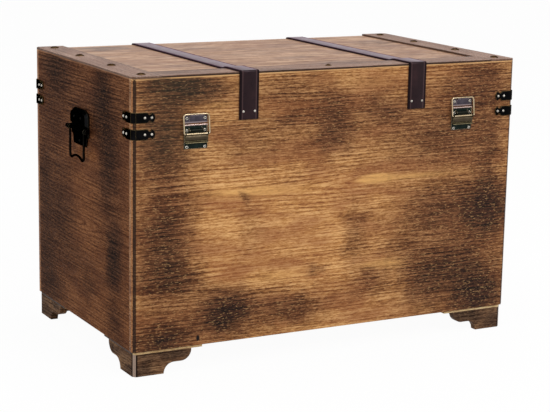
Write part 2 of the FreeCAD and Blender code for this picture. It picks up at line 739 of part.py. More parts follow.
def handle_plate(name):
    """Plate with a domed top and a narrow tail, a raised field, and ears with the rod."""
    body = new_body(name)
    face = new_sketch(body, name + "_face", "YZ_Plane")
    tail = d.tail_width / 2
    soft = d.tail_round
    hollow = d.tail_hollow
    foot = tail_z - d.tail_drop
    draw(face, [(tail - soft, foot), (tail, foot + soft), (tail, tail_z - hollow),
                (tail + hollow, tail_z), (handle_half, tail_z)]
         + crown(handle_half, d.handle_crown)
         + [(-handle_half, tail_z), (-tail - hollow, tail_z),
            (-tail, tail_z - hollow), (-tail, foot + soft), (soft - tail, foot)])
    pad(body, name + "_plate", face, d.handle_thick, backwards=True)
    field = new_sketch(body, name + "_field", "YZ_Plane", -d.handle_thick)
    inner = handle_half - d.field_edge
    low = rod_z + d.post_radius + d.field_gap
    draw(field, [(inner, low)] + crown(inner, d.handle_crown - d.field_edge) + [(-inner, low)])
    raised = pad(body, name + "_field_pad", field, d.field_rise, backwards=True)
    bind(raised, "TaperAngle", -d.field_slope)
    nose = d.post_radius
    for hand, start in (("front", -(post_inner + d.post_thick)), ("rear", post_inner)):
        ear = new_sketch(body, "%s_%s_ear" % (name, hand), "XZ_Plane", -start)
        draw(ear, [(0, rod_z - nose), (0, rod_z + nose), (-d.rod_out, rod_z + nose, nose),
                   (-d.rod_out - nose, rod_z, nose), (-d.rod_out, rod_z - nose)])
        pad(body, "%s_%s_ear_pad" % (name, hand), ear, d.post_thick, backwards=True)
    rod = new_sketch(body, name + "_rod", "YZ_Plane", -d.rod_out, rod_z)
    r, knob = d.rod_radius, d.knob_radius
    neck = post_inner + d.post_thick
    end = neck + d.knob_length
    draw(rod, [(-end, 0), (end, 0), (end, knob), (neck, knob), (neck, r), (-neck, r),
               (-neck, knob), (-end, knob)])
    turned = body.newObject("PartDesign::Revolution", name + "_rod_turned")
    turned.Profile = rod
    turned.ReferenceAxis = (rod, ["H_Axis"])
    turned.Angle = 360.0
    place(body, left_x, middle_y, carcass_top)
    return body


def handle_bail(name):
    """Drop bail: two eyes on the rod, straight legs and a grip that rises in its middle."""
    body = new_body(name)
    w, low, bend = bail_half, -d.bail_drop, d.bail_bend
    start = d.eye_lap - d.eye_radius
    half = [(-w, start), (-w, low + bend), (bend - w, low), (-w / 3, low + d.bail_arch)]
    path = new_sketch(body, name + "_path", "YZ_Plane")
    draw(path, half + [(-y, z) for y, z in reversed(half)], closed=False)
    bar = new_sketch(body, name + "_bar", "XY_Plane", start)
    ring(bar, 0, -w, d.bail_radius)
    sweep(body, name + "_sweep", bar, path)
    for hand, centre in (("front", -w), ("rear", w)):
        eye = new_sketch(body, "%s_%s_eye" % (name, hand), "XZ_Plane",
                         d.eye_half - centre)
        ring(eye, 0, 0, d.eye_radius)
        pad(body, "%s_%s_eye_pad" % (name, hand), eye, d.eye_half * 2, backwards=True)
    bore = new_sketch(body, name + "_bore", "XZ_Plane")
    ring(bore, 0, 0, d.rod_radius + d.pin_play)
    cut_through(body, name + "_eye_holes", bore)
    place(body, left_x - d.rod_out, middle_y, carcass_top + rod_z)
    return body


mirrored(handle_plate("left_handle_plate"), "right_handle_plate", across_width=True)
mirrored(handle_bail("left_handle_bail"), "right_handle_bail", across_width=True)

doc.recompute()


# ---------------------------------------------------------------- checks and export

corners = ("front_left", "front_right", "rear_left", "rear_right")
hands = ("left", "right")
NODES = ["front_panel", "back_panel", "left_panel", "right_panel", "bottom_panel"]
NODES += ["lid_front_rail", "lid_back_rail", "lid_left_rail", "lid_right_rail", "lid_top_board"]
NODES += ["left_rim_strip", "right_rim_strip", "front_rim_strip"]
NODES += ["left_strap", "right_strap"]
for piece in ("foot_end_board", "foot_side_board", "foot_cap", "lower_bracket",
              "upper_bracket"):
    NODES += ["%s_%s" % (corner, piece) for corner in corners]
for piece in ("latch_base", "latch_lever", "latch_loop", "latch_keeper", "hinge_lower_leaf",
              "hinge_upper_leaf", "handle_plate", "handle_bail"):
    NODES += ["%s_%s" % (hand, piece) for hand in hands]

for thing in doc.Objects:
    if "Invalid" in thing.State or "Error" in thing.State:
        raise RuntimeError("%s: %s" % (thing.Name, thing.State))

shapes = {}
for name in NODES:
    shape = doc.getObjectsByLabel(name)[0].Shape
    if shape.isNull() or not shape.isValid() or len(shape.Solids) != 1:
        raise RuntimeError("%s is not one valid solid" % name)
    shapes[name] = shape

# a wire's volume is its section times the length of its path
for name, radius in (("left_latch_loop", d.loop_wire), ("left_handle_bail", d.bail_radius)):
    path = doc.getObjectsByLabel(name + "_path")[0].Shape
    swept = doc.getObjectsByLabel(name + "_sweep")[0].Shape
    right = math.pi * radius.number ** 2 * path.Length
    print("%s: %.1f mm3 swept, %.1f by its length" % (name, swept.Volume, right))

os.makedirs("parts", exist_ok=True)
for name, shape in shapes.items():
    shape.exportStep("parts/%s.step" % name)

whole = FreeCAD.BoundBox()
for shape in shapes.values():
    whole.add(shape.BoundBox)
print("%d pieces" % len(shapes))
print("outline x %.2f..%.2f  y %.2f..%.2f  z %.2f..%.2f" % (
    whole.XMin, whole.XMax, whole.YMin, whole.YMax, whole.ZMin, whole.ZMax))
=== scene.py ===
# %% [markdown]
# # A sea chest in scorched pine
#
# The chest is a boarded pine box on bracket feet, with a shallow lid, two leather straps,
# two loop latches, a drop handle on each side and thin bent corner brackets. Its boards were
# passed under a torch, wire-brushed, stained and waxed, so most of this lesson is about wood.
#
# The solid frame already has every board and metal part at its true size. The script keeps
# those solids, gives each one a finish, and adds what is too small or too round for them:
# nails, screws, the smooth wire of the latches and handles, and the leather itself.

# %% Load the frame
import math
from types import SimpleNamespace

import bmesh
import bpy
from mathutils import Matrix, Vector


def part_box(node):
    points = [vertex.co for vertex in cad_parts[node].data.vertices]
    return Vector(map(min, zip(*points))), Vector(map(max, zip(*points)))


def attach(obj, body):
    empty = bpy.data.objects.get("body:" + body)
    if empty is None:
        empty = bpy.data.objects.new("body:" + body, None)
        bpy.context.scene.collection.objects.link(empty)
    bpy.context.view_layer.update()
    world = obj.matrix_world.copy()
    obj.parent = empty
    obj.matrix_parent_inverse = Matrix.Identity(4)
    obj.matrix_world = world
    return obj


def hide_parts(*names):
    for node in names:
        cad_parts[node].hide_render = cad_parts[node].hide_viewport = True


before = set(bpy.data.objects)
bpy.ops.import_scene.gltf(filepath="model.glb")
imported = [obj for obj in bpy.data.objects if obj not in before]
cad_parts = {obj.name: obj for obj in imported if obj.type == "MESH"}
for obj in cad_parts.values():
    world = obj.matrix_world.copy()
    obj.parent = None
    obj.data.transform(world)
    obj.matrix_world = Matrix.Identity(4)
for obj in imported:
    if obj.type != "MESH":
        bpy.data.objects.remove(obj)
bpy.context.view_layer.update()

# the box's own measures in millimetres, from the floor and from the middle of its width
MM = 0.001
HALF_WIDE, HALF_DEEP, MIDDLE_Y, LID_TOP, RIM_TOP = 335, 200, 1, 447, 450
LATCH_X, STRAP_X, STUD_X = 235, 148, 311.5
HANDS = (("left", -1), ("right", 1))

# %% [markdown]
# ## Small tools
#
# Colours are written as sRGB hex codes, the way a paint shop would note them, and turned to
# the linear values that a shader wants. One function adds any node with its settings and
# links. A finish is kept as a small bundle, so that later steps can lay more coats on it.

# %% Colours and nodes
def colour(code):
    """The linear value of an sRGB hex code such as "a5754a"."""
    parts = [int(code[i:i + 2], 16) / 255 for i in (0, 2, 4)]
    return [p / 12.92 if p <= 0.04045 else ((p + 0.055) / 1.055) ** 2.4 for p in parts] + [1.0]


def add(tree, kind, inputs=(), operation=None, stops=(), **settings):
    """Adds a node. inputs are values, sockets or nodes, by order or name, and stops a ramp's."""
    node = tree.nodes.new("ShaderNode" + kind)
    if operation:
        node.operation = operation
    for name, value in settings.items():
        setattr(node, name, value)
    for key, value in inputs.items() if isinstance(inputs, dict) else enumerate(inputs):
        if isinstance(key, str):
            socket = next(s for s in node.inputs if s.enabled and s.name == key)
        else:
            socket = node.inputs[key]
        if isinstance(value, bpy.types.Node):
            value = next(s for s in value.outputs if s.enabled)
        if isinstance(value, bpy.types.NodeSocket):
            tree.links.new(value, socket)
        else:
            socket.default_value = value
    for i, (at, code) in enumerate(stops):
        elements = node.color_ramp.elements
        element = elements[i] if i < len(elements) else elements.new(at)
        element.position, element.color = at, colour(code)
    return node


def start_finish(name, **surface):
    """A new material, with its shader and the object's own coordinates ready to use."""
    material = bpy.data.materials.new(name)
    material.use_nodes = True
    tree = material.node_tree
    shader = tree.nodes["Principled BSDF"]
    for socket, value in surface.items():
        shader.inputs[socket.replace("_", " ")].default_value = value
    place = add(tree, "TexCoord").outputs["Object"]
    axes = add(tree, "SeparateXYZ", [place])
    x, y, z = (axes.outputs[letter] for letter in "XYZ")
    print("finish:", name)
    return SimpleNamespace(material=material, tree=tree, shader=shader, place=place, x=x, y=y, z=z)


def lay(finish, mask, coat):
    """Lays a coat over what is there. coat is a hex code or a node, mask says how much."""
    tint = colour(coat) if isinstance(coat, str) else coat
    finish.colour = add(finish.tree, "Mix", {"Factor": mask, "A": finish.colour, "B": tint},
                        data_type="RGBA").outputs[2]
    finish.tree.links.new(finish.colour, finish.shader.inputs["Base Color"])


def fade(finish, value, start, end, depth, coat):
    """Lays a coat that sets in where value is start and has its full depth from end on."""
    lay(finish, add(finish.tree, "MapRange", [value, start, end, 0.0, depth]), coat)


def dress(finish, *nodes):
    """Gives frame solids a finish, through their material slots alone."""
    for name in nodes:
        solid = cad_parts[name]
        if not solid.material_slots:
            solid.data.materials.append(finish.material)
        for slot in solid.material_slots:
            slot.material = finish.material
    print(finish.material.name, "on", len(nodes), "solids")


# %% [markdown]
# ## Pine boards, torched and brushed
#
# Plain-sawn pine shows nested tongues where the saw ran nearly along a growth ring, and near
# straight lines beside them. Such a tongue is drawn from the distance to its axis. Beyond the
# tip a share of the length is added, less and less of it, so a few rings close round the tip
# and the rest run on with the grain. Wire-brushing takes out the soft wood and leaves
# short dark pores, drawn 2 mm thick here because their true 0.5 mm would not show at this
# size. Broad bands, a reddish blush and some golden streaks come from the stain.

# %% Patterns along the grain
def lumps(board, length, width, detail=2.0, rough=0.55):
    """A pattern whose lumps are drawn out along the grain."""
    scale = (1 / length, 1 / width, 1 / width)
    stretched = add(board.tree, "VectorMath", [board.grain, scale], "MULTIPLY")
    return add(board.tree, "TexNoise", {"Vector": stretched, "Scale": 1.0, "Detail": detail,
                                        "Roughness": rough})


def spot(tree, source, along, across, half_long, half_wide, depth):
    """A soft oval in the face, placed and sized in millimetres."""
    scale = (1000 / half_long, 1000 / half_wide, 0.0)
    shift = (-along / half_long, -across / half_wide, 0.0)
    oval = add(tree, "VectorMath", [source, scale, shift], "MULTIPLY_ADD")
    far = add(tree, "VectorMath", [oval], "LENGTH").outputs["Value"]
    return add(tree, "MapRange", [far, 1.75, 0.05, 0.0, depth], interpolation_type="SMOOTHSTEP")


# %% Growth rings
def growth_rings(board, tongues, ring):
    """0 on the dark late wood and 1 between. Each tongue has a tip, an axis and a way, 1 or -1."""
    tree = board.tree
    # the lines sway by a few millimetres over a hand's breadth
    sway, wander = lumps(board, 0.30, 0.12, 1.5), lumps(board, 0.08, 0.018)
    sway = add(tree, "Math", [sway, 0.022, -0.011], "MULTIPLY_ADD")
    wander = add(tree, "Math", [wander, 0.005, -0.0025], "MULTIPLY_ADD")
    aside = add(tree, "CombineXYZ", {"Y": add(tree, "Math", [sway, wander], "ADD")})
    board.swayed = add(tree, "VectorMath", [board.grain, aside], "ADD")
    parts = add(tree, "SeparateXYZ", [board.swayed]).outputs
    near = None
    for tip, axis, way in tongues:
        ahead = add(tree, "Math", [tip, parts["X"]], "SUBTRACT")
        ahead = add(tree, "Math", [ahead, way], "MULTIPLY")
        beyond = add(tree, "Math", [ahead, 0.0], "MAXIMUM")
        growth = add(tree, "Math", [beyond, 44.0, 5.5], "MULTIPLY_ADD")
        less = add(tree, "Math", [beyond, growth], "DIVIDE")
        beside = add(tree, "Math", [parts["Y"], axis], "SUBTRACT")
        both = add(tree, "CombineXYZ", [less, beside])
        far = add(tree, "VectorMath", [both], "LENGTH").outputs["Value"]
        near = far if near is None else add(tree, "Math", [near, far], "MINIMUM")
    count = add(tree, "Math", [near, ring], "DIVIDE")
    count = add(tree, "Math", [count], "FRACT")
    rings = add(tree, "MapRange", [count, 0.50, 0.82, 1.0, 0.0], interpolation_type="SMOOTHSTEP")
    for lighter in (add(tree, "MapRange", [count, 0.88, 1.0], interpolation_type="SMOOTHSTEP"),
                    # the figure fades out in places and far from its axis
                    add(tree, "MapRange", [lumps(board, 0.25, 0.06), 0.42, 0.54, 0.65, 0.0]),
                    add(tree, "MapRange", [near, 0.024, 0.050, 0.0, 0.60])):
        rings = add(tree, "Math", [rings, lighter], "MAXIMUM")
    return rings


# %% [markdown]
# ## The torch
#
# The maker then scorched clouds into the boards with a torch. Each cloud is an oval with a
# soft edge. Where it is half dark the fibres break it into streaks, and a few raised grains
# rub through to bare wood.

# %% Scorched clouds
def scorch(board, clouds, smudge):
    """How burnt the wood is, from 0 to 1."""
    tree = board.tree
    # the outlines waver by up to about 20 mm
    lumpy = lumps(board, 0.034, 0.026, 3.0, 0.6).outputs["Color"]
    drift = add(tree, "VectorMath", [lumpy, (0.044, 0.040, 0.0), (-0.022, -0.020, 0.0)],
                "MULTIPLY_ADD")
    moved = add(tree, "VectorMath", [board.grain, drift], "ADD")
    patches = add(tree, "MapRange", [lumps(board, 0.10, 0.035, 3.0), 0.44, 0.70])
    burn = add(tree, "Math", [patches, smudge], "MULTIPLY")
    for cloud in clouds:
        darker = spot(tree, moved, *cloud)
        shared = add(tree, "Math", [burn, darker], "MULTIPLY")
        burn = add(tree, "Math", [burn, darker], "ADD")
        burn = add(tree, "Math", [burn, shared], "SUBTRACT")
    # the half-burnt wood is where pores and fibres show most
    unburnt = add(tree, "Math", [1.0, burn], "SUBTRACT")
    half = add(tree, "Math", [burn, unburnt], "MULTIPLY")
    strokes = add(tree, "Math", [board.threads, board.pores], "ADD")
    strokes = add(tree, "Math", [strokes, -1.0, 1.0], "MULTIPLY_ADD")
    strokes = add(tree, "Math", [half, strokes], "MULTIPLY")
    return add(tree, "Math", [strokes, 0.5, burn], "MULTIPLY_ADD", use_clamp=True)


# %% A finished board
WAXED, GOLD, TONE_STOPS, ROUNDING = 0.46, "deaa66", (0.12, 0.5, 0.88), 0.0012


def wood(name, order, tones, burnt, tongues, ring=0.0058, clouds=(), golden=(), smudge=0.0,
         fibre=(0.0080, 0.0018), figure=0.34, blush="8a5130", toast=("4c2410", "7c4828", "a06a42"),
         specks=0.4, **surface):
    """A board whose grain runs along order[0], with order[1] across it in the face."""
    surface.setdefault("Specular_IOR_Level", 0.12)
    board = start_finish(name, Roughness=WAXED, **surface)
    tree = board.tree
    board.grain = add(tree, "CombineXYZ", [getattr(board, axis) for axis in order])

    # pores over fibres over broad bands, each with its share of the tone
    rings = growth_rings(board, tongues, ring)
    length, width = fibre
    board.pores = add(tree, "MapRange", [lumps(board, length, width, 2.5, 0.7), 0.36, 0.60])
    threads = lumps(board, length * 10.0, width * 1.2, 2.0, 0.6)
    board.threads = add(tree, "MapRange", [threads, 0.36, 0.62])
    bands = add(tree, "MapRange", [lumps(board, 0.20, 0.015), 0.30, 0.70])
    tone = -0.21
    for pattern, share in ((rings, figure), (board.pores, 0.40), (board.threads, 0.34),
                           (bands, 0.16)):
        tone = add(tree, "Math", [pattern, share, tone], "MULTIPLY_ADD")
    tone.use_clamp = True
    board.tone = tone
    board.colour = add(tree, "ValToRGB", [tone], stops=zip(TONE_STOPS, tones))
    fade(board, lumps(board, 0.10, 0.034, 3.0), 0.44, 0.62, 0.62, blush)
    for streak in golden:
        shown = spot(tree, board.swayed, *streak)
        ringed = add(tree, "Math", [rings, 0.5, 0.5], "MULTIPLY_ADD")
        lay(board, add(tree, "Math", [shown, ringed], "MULTIPLY"), GOLD)

    # a light pass of the flame toasts the wood reddish brown, a long one turns it to char
    burn = scorch(board, clouds, smudge)
    fade(board, burn, 0.0, 0.5, 0.88, add(tree, "ValToRGB", [tone], stops=zip(TONE_STOPS, toast)))
    board.burn = add(tree, "MapRange", [burn, 0.06, 0.84])
    lay(board, board.burn, add(tree, "ValToRGB", [tone], stops=zip((0.15, 0.5, 0.9), burnt)))
    rubbed = add(tree, "MapRange", [lumps(board, 0.0052, 0.0016, 1.0), 0.61, 0.69])
    share = add(tree, "Math", [burn, 0.4 * specks, 0.6 * specks], "MULTIPLY_ADD")
    lay(board, add(tree, "Math", [rubbed, share], "MULTIPLY"), tones[-1])

    # the wax lies thinner on the raised grain, and every arris is rounded by about a millimetre
    shine = add(tree, "MapRange", [tone, 0.0, 1.0, WAXED + 0.08, WAXED - 0.06])
    tree.links.new(shine.outputs["Result"], board.shader.inputs["Roughness"])
    raised = add(tree, "Math", [rings, 0.4], "MULTIPLY")
    relief = add(tree, "Math", [board.pores, 0.6, raised], "MULTIPLY_ADD")
    rounded = add(tree, "Bevel", {"Radius": ROUNDING}, samples=6)
    bump = add(tree, "Bump", {"Strength": 0.35, "Distance": 0.0006, "Height": relief,
                              "Normal": rounded})
    tree.links.new(bump.outputs["Normal"], board.shader.inputs["Normal"])
    return board


# %% [markdown]
# ## The front
#
# One wide figured face, orange-brown in the middle and scorched round the rim. The lid was
# sawn off the finished box, so the clouds run on across the seam: box and lid share a finish.
# The clouds are listed in millimetres: along, up, half length, half height and depth.

# %% Front boards
FRONT_CLOUDS = [
    # broad and light: the top, the left edge, the right third and the bottom
    (20, 370, 270, 75, 0.30), (-300, 230, 70, 200, 0.35), (235, 160, 150, 130, 0.40),
    (265, 370, 100, 90, 0.35), (-150, 75, 150, 50, 0.30), (260, 70, 90, 50, 0.30),
    # down the left
    (-255, 432, 70, 26, 0.75), (-280, 370, 32, 42, 0.50), (-290, 330, 35, 32, 0.30),
    (-280, 205, 36, 70, 0.58), (-272, 150, 45, 30, 0.42), (-240, 130, 32, 16, 0.30),
    (-182, 84, 44, 32, 0.90), (-285, 50, 48, 26, 0.75),
    # along the top
    (-90, 425, 60, 22, 0.25), (-80, 372, 28, 14, 0.30), (-140, 345, 42, 32, 0.15),
    (0, 372, 36, 40, 0.42), (5, 340, 32, 26, 0.25), (92, 378, 38, 20, 0.45),
    (175, 335, 72, 38, 0.30), (275, 420, 48, 32, 0.35),
    # down the right
    (290, 300, 24, 60, 0.30), (290, 208, 44, 46, 0.90), (205, 212, 60, 36, 0.42),
    (228, 112, 70, 42, 0.55), (170, 90, 32, 30, 0.38), (285, 58, 44, 38, 0.85),
    # along the bottom and small ones in the middle
    (-85, 82, 32, 22, 0.40), (-40, 72, 38, 18, 0.25), (70, 105, 34, 22, 0.30),
    (42, 185, 22, 48, 0.28), (140, 150, 34, 30, 0.20), (-145, 215, 22, 42, 0.15),
    (-25, 133, 16, 6, 0.30), (68, 126, 12, 8, 0.30), (-152, 262, 10, 10, 0.30),
]
front_wood = wood("stained_pine_front", "xzy", ("784624", "b17c46", "d8a870"),
                  ("050201", "1e0e07", "502f1e"),
                  [(0.060, 0.267, 1), (-0.025, 0.133, 1), (0.12, 0.062, -1), (-0.16, 0.42, 1)],
                  clouds=FRONT_CLOUDS, smudge=0.10,
                  golden=[(80, 268, 30, 7, 1.9), (160, 267, 70, 5, 0.95), (-140, 266, 85, 9, 0.75),
                          (108, 132, 42, 8, 1.00), (-85, 130, 50, 8, 0.40), (-190, 405, 25, 6, 0.40),
                          (190, 55, 40, 8, 0.40), (60, 425, 50, 10, 0.30)])
# the back has every other cloud of the front, mirrored, wider and a little higher
back_wood = wood("stained_pine_back", "xzy", ("78492a", "9a673e", "ba8856"),
                 ("0a0403", "241209", "4a2c1c"), [(-0.08, 0.215, -1), (0.16, 0.37, 1)],
                 clouds=[(-x * 0.93 + 8, z + 14, a * 1.1, b, 0.9 * d)
                         for x, z, a, b, d in FRONT_CLOUDS[::2]], smudge=0.30)
# the first pass of the torch, at the top left, left a cold greenish char
tree = front_wood.tree
leftward = add(tree, "MapRange", [front_wood.x, -0.10, -0.24])
upward = add(tree, "MapRange", [front_wood.z, 0.27, 0.36, 0.0, 0.45])
cold = add(tree, "Math", [leftward, upward], "MULTIPLY")
lay(front_wood, add(tree, "Math", [cold, front_wood.burn], "MULTIPLY"), "2f2b1e")
print("clouds on the front:", len(FRONT_CLOUDS))

# %% [markdown]
# ## The sides
#
# The side boards took more stain and more flame, with tall dark bands where the torch ran up
# beside the corners. Their grain runs from front to back.

# %% Side boards
SIDE_CLOUDS = [
    # broad and light, beside both corners
    (-120, 300, 60, 170, 0.30), (140, 250, 90, 220, 0.35), (0, 400, 170, 60, 0.25),
    # beside the front corner, from the top down
    (-85, 405, 32, 40, 0.65), (-60, 360, 50, 30, 0.40), (-110, 320, 30, 50, 0.60),
    (-95, 270, 20, 30, 0.30), (-130, 170, 26, 50, 0.75), (-115, 145, 20, 25, 0.30),
    (-130, 65, 32, 30, 0.40),
    # beside the back corner
    (105, 430, 52, 40, 0.60), (165, 230, 28, 60, 0.40), (165, 100, 40, 70, 0.45),
    (130, 60, 50, 30, 0.30),
    # in between
    (90, 180, 60, 70, 0.30), (5, 130, 60, 30, 0.20), (-30, 100, 30, 20, 0.20),
]
SIDE_TONES, SIDE_BURNT = ("3c2011", "673e24", "8e5f3c"), ("060201", "170a05", "3c2417")
SIDE_LOOK = dict(blush="552f1c", toast=("2e170c", "4c2b1a", "6c452c"), Specular_IOR_Level=0.01)
left_wood = wood("stained_pine_left", "yzx", SIDE_TONES, SIDE_BURNT,
                 [(0.02, 0.20, 1), (0.05, 0.40, -1)], clouds=SIDE_CLOUDS, smudge=0.15, **SIDE_LOOK)
right_wood = wood("stained_pine_right", "yzx", SIDE_TONES, SIDE_BURNT,
                  [(-0.04, 0.16, -1), (0.06, 0.36, 1)], smudge=0.25, **SIDE_LOOK,
                  clouds=[(y * 0.9 - 6, z + 9, a, b, d) for y, z, a, b, d in SIDE_CLOUDS])

# %% [markdown]
# ## Dark corners, pale arrises, bare insides
#
# The upright corners were planed flat and charred almost black. The top arris of the lid was
# sanded back to bare wood. Inside nobody bothered with the torch: the boards are only oiled.
# Corners and insides follow from how far a point lies from the box's outer skin, and the top
# arris follows from its height as well.

# %% Helpers for the corners
OILED = ("9a7048", "b98f63", "d3ae80")


def oiled(board):
    """The same grain, as it looks under oil alone."""
    return add(board.tree, "ValToRGB", [board.tone], stops=zip((0.1, 0.5, 0.9), OILED))


def depths(board, set_back=0.0):
    """How far a point lies inside the box's sides, and inside its front or back."""
    tree = board.tree
    off_x = add(tree, "Math", [board.x], "ABSOLUTE")
    off_y = add(tree, "Math", [board.y, MIDDLE_Y * MM], "SUBTRACT")
    off_y = add(tree, "Math", [off_y], "ABSOLUTE")
    side, face = (HALF_WIDE - set_back) * MM, (HALF_DEEP - set_back) * MM
    return (add(tree, "Math", [side, off_x], "SUBTRACT"),
            add(tree, "Math", [face, off_y], "SUBTRACT"))


# %% Corners and insides
rim, lid_top = RIM_TOP * MM, LID_TOP * MM
for board in (front_wood, back_wood, left_wood, right_wood):
    tree = board.tree
    from_side, from_face = depths(board)
    nearer = add(tree, "Math", [from_side, from_face], "MINIMUM")
    inner = add(tree, "MapRange", [nearer, 0.0085, 0.0112])
    lay(board, inner, oiled(board))
    # the planed flat is 5 mm from the corner in all: char on two thirds, raw wood on the rest
    corner = add(tree, "Math", [from_side, from_face], "ADD")
    ragged = add(tree, "Math", [board.threads, 0.0005, corner], "MULTIPLY_ADD")
    flat = add(tree, "MapRange", [ragged, 0.0066, 0.0054, 0.0, 0.92])
    third = add(tree, "MapRange", [from_face, 0.0036, 0.0030])
    lay(board, add(tree, "Math", [flat, third], "MULTIPLY"), "22130c")
    flat = add(tree, "MapRange", [corner, 0.0056, 0.0052])
    third = add(tree, "MapRange", [from_face, 0.0032, 0.0038, 0.0, 0.80])
    raw = add(tree, "Math", [flat, third], "MULTIPLY")
    brushed = add(tree, "MapRange", [board.threads, 0.10, 0.70, 0.25, 1.0])
    lay(board, add(tree, "Math", [raw, brushed], "MULTIPLY"), "a4704a")
    # the arris along the lid's top was sanded to bare wood, outside alone
    ragged = add(tree, "Math", [board.threads, 0.0012, board.z], "MULTIPLY_ADD")
    under_rim = add(tree, "MapRange", [ragged, lid_top - 0.0020, lid_top - 0.0008])
    brushed = add(tree, "MapRange", [board.threads, 0.1, 0.8, 0.30, 0.90])
    outer = add(tree, "Math", [1.0, inner], "SUBTRACT")
    sanded = add(tree, "Math", [brushed, outer], "MULTIPLY")
    lay(board, add(tree, "Math", [under_rim, sanded], "MULTIPLY"),
        "c69a68" if board in (front_wood, back_wood) else "94694c")

# one knot, 5 mm wide, low on the left of the front
KNOT_X, KNOT_Z, KNOT_WIDE, KNOT_HIGH = -0.228, 0.0495, 0.0026, 0.0042
tree = front_wood.tree
knot = add(tree, "VectorMath", [front_wood.place, (1 / KNOT_WIDE, 0.0, 1 / KNOT_HIGH),
                                (-KNOT_X / KNOT_WIDE, 0.0, -KNOT_Z / KNOT_HIGH)],
           "MULTIPLY_ADD")
far = add(tree, "VectorMath", [knot], "LENGTH").outputs["Value"]
fade(front_wood, far, 1.35, 0.8, 1.0, "160d0a")

dress(front_wood, "front_panel", "lid_front_rail")
dress(back_wood, "back_panel", "lid_back_rail")
dress(left_wood, "left_panel", "lid_left_rail")
dress(right_wood, "right_panel", "lid_right_rail")

# %% [markdown]
# ## The top
#
# The top was washed with a thin grey-pink lime wax after brushing. It is paler and cooler than the
# walls partly because of that wax and partly because of painted sheen: the grazing reflection of the
# white surround, lightened into its colour. The strips along its front and sides took a little more
# of the stain; the back edge has none, so the back rail shows its own top there.

# %% Top board and strips
# the top's tones hold its lime wax and a painted sheen, the grazing reflection lightened into them
TOP_TONES = ("7e5a42", "a78165", "c9a284")
top_wood = wood("lime_and_sheen_pine_top", "xyz", TOP_TONES, ("4a3a34", "6b564b", "8c7466"),
                [(0.05, 0.05, 1), (-0.15, -0.10, -1)], figure=0.30, blush="8c6450", specks=0.3,
                toast=("6a5044", "8a6c5c", "a88c7a"), ring=0.016, fibre=(0.020, 0.0060),
                Specular_IOR_Level=0.08,
                clouds=[(-240, 168, 26, 24, 0.7), (-205, 160, 18, 20, 0.6), (60, -120, 60, 14, 0.3),
                        (-90, 120, 50, 20, 0.3), (250, 100, 40, 30, 0.3)], smudge=0.25)
# the strips' tones hold their stain and the same painted sheen
STRIP_TONES, STRIP_BURNT = ("6b4e3f", "937261", "b49583"), ("3a2c28", "5a483f", "7b665a")
STRIP_LOOK = dict(figure=0.20, blush="7d5c4c", smudge=0.35, specks=0.3,
                  toast=("5a463c", "755c50", "8e7466"), Specular_IOR_Level=0.08)
long_strip = wood("lime_and_sheen_long_strip", "xyz", STRIP_TONES, STRIP_BURNT,
                  [(0.10, -0.30, 1)], **STRIP_LOOK)
side_strip = wood("lime_and_sheen_side_strip", "yxz", STRIP_TONES, STRIP_BURNT,
                  [(0.10, -0.42, 1), (-0.10, 0.44, 1)], **STRIP_LOOK)
# the strips' outer edges are dark below the top arris, the front one darkest
fade(long_strip, long_strip.z, rim - 0.0001, rim - 0.0007, 0.92, "2c1d17")
fade(side_strip, side_strip.z, rim - 0.0003, rim - 0.0010, 0.60, "3b2a22")
# painted shade along the inner edges of the strips, in the gap where they meet the board
inner_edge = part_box("front_rim_strip")[1][1]
fade(long_strip, long_strip.y, inner_edge - 0.0050, inner_edge - 0.0030, 0.75, "4a362c")
inner_edge = -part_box("left_rim_strip")[1][0]
off_x = add(side_strip.tree, "Math", [side_strip.x], "ABSOLUTE")
fade(side_strip, off_x, inner_edge + 0.0030, inner_edge + 0.0010, 0.60, "523c30")
# below its top face the board is only oiled, and the back rail's own top takes the top's tones,
# lime wax and painted sheen
fade(top_wood, top_wood.z, lid_top - 0.0008, lid_top - 0.0015, 1.0, oiled(top_wood))
lime_and_sheen_tone = add(back_wood.tree, "ValToRGB", [back_wood.tone], stops=zip(TONE_STOPS, TOP_TONES))
fade(back_wood, back_wood.z, lid_top - 0.0005, lid_top - 0.0002, 1.0, lime_and_sheen_tone)
inside_floor = wood("oiled_pine_floor", "xyz", OILED, ("6a4a30", "8a6442", "a88058"),
                    [(0.1, 0.1, 1)], smudge=0.15, blush="a87a50",
                    toast=("7a5434", "96704a", "b08c62"))
dress(top_wood, "lid_top_board")
dress(long_strip, "front_rim_strip")
dress(side_strip, "left_rim_strip", "right_rim_strip")
dress(inside_floor, "bottom_panel")

# %% [markdown]
# ## Feet and caps
#
# The bracket feet are greyer than the box, with a sanded pale corner where the two boards
# meet. Between foot and box lies a thin cap whose raw pine edge was never stained.

# %% Feet
FOOT_TONES, FOOT_BURNT = ("452e1f", "6e5039", "987654"), ("20150f", "3c2b20", "5a4535")
FOOT_LOOK, FOOT_SET_BACK = dict(blush="5c3c28", toast=("342319", "523b2c", "725643")), 2.5
foot_end = wood("scorched_pine_foot_front", "xzy", FOOT_TONES, FOOT_BURNT, [(0.0, 0.02, 1)],
                clouds=[(-318, 8, 14, 12, 0.6), (-262, 26, 20, 8, 0.7), (266, 28, 26, 12, 0.9),
                        (318, 12, 12, 14, 0.6), (-300, 30, 30, 5, 0.5)],
                smudge=0.6, Specular_IOR_Level=0.04, **FOOT_LOOK)
foot_side = wood("scorched_pine_foot_side", "yzx", FOOT_TONES, FOOT_BURNT, [(0.0, 0.02, 1)],
                 clouds=[(-180, 10, 20, 16, 0.6), (-120, 28, 30, 8, 0.6), (178, 14, 20, 20, 0.6),
                         (130, 26, 20, 8, 0.5)],
                 smudge=0.65, Specular_IOR_Level=0.01, **FOOT_LOOK)
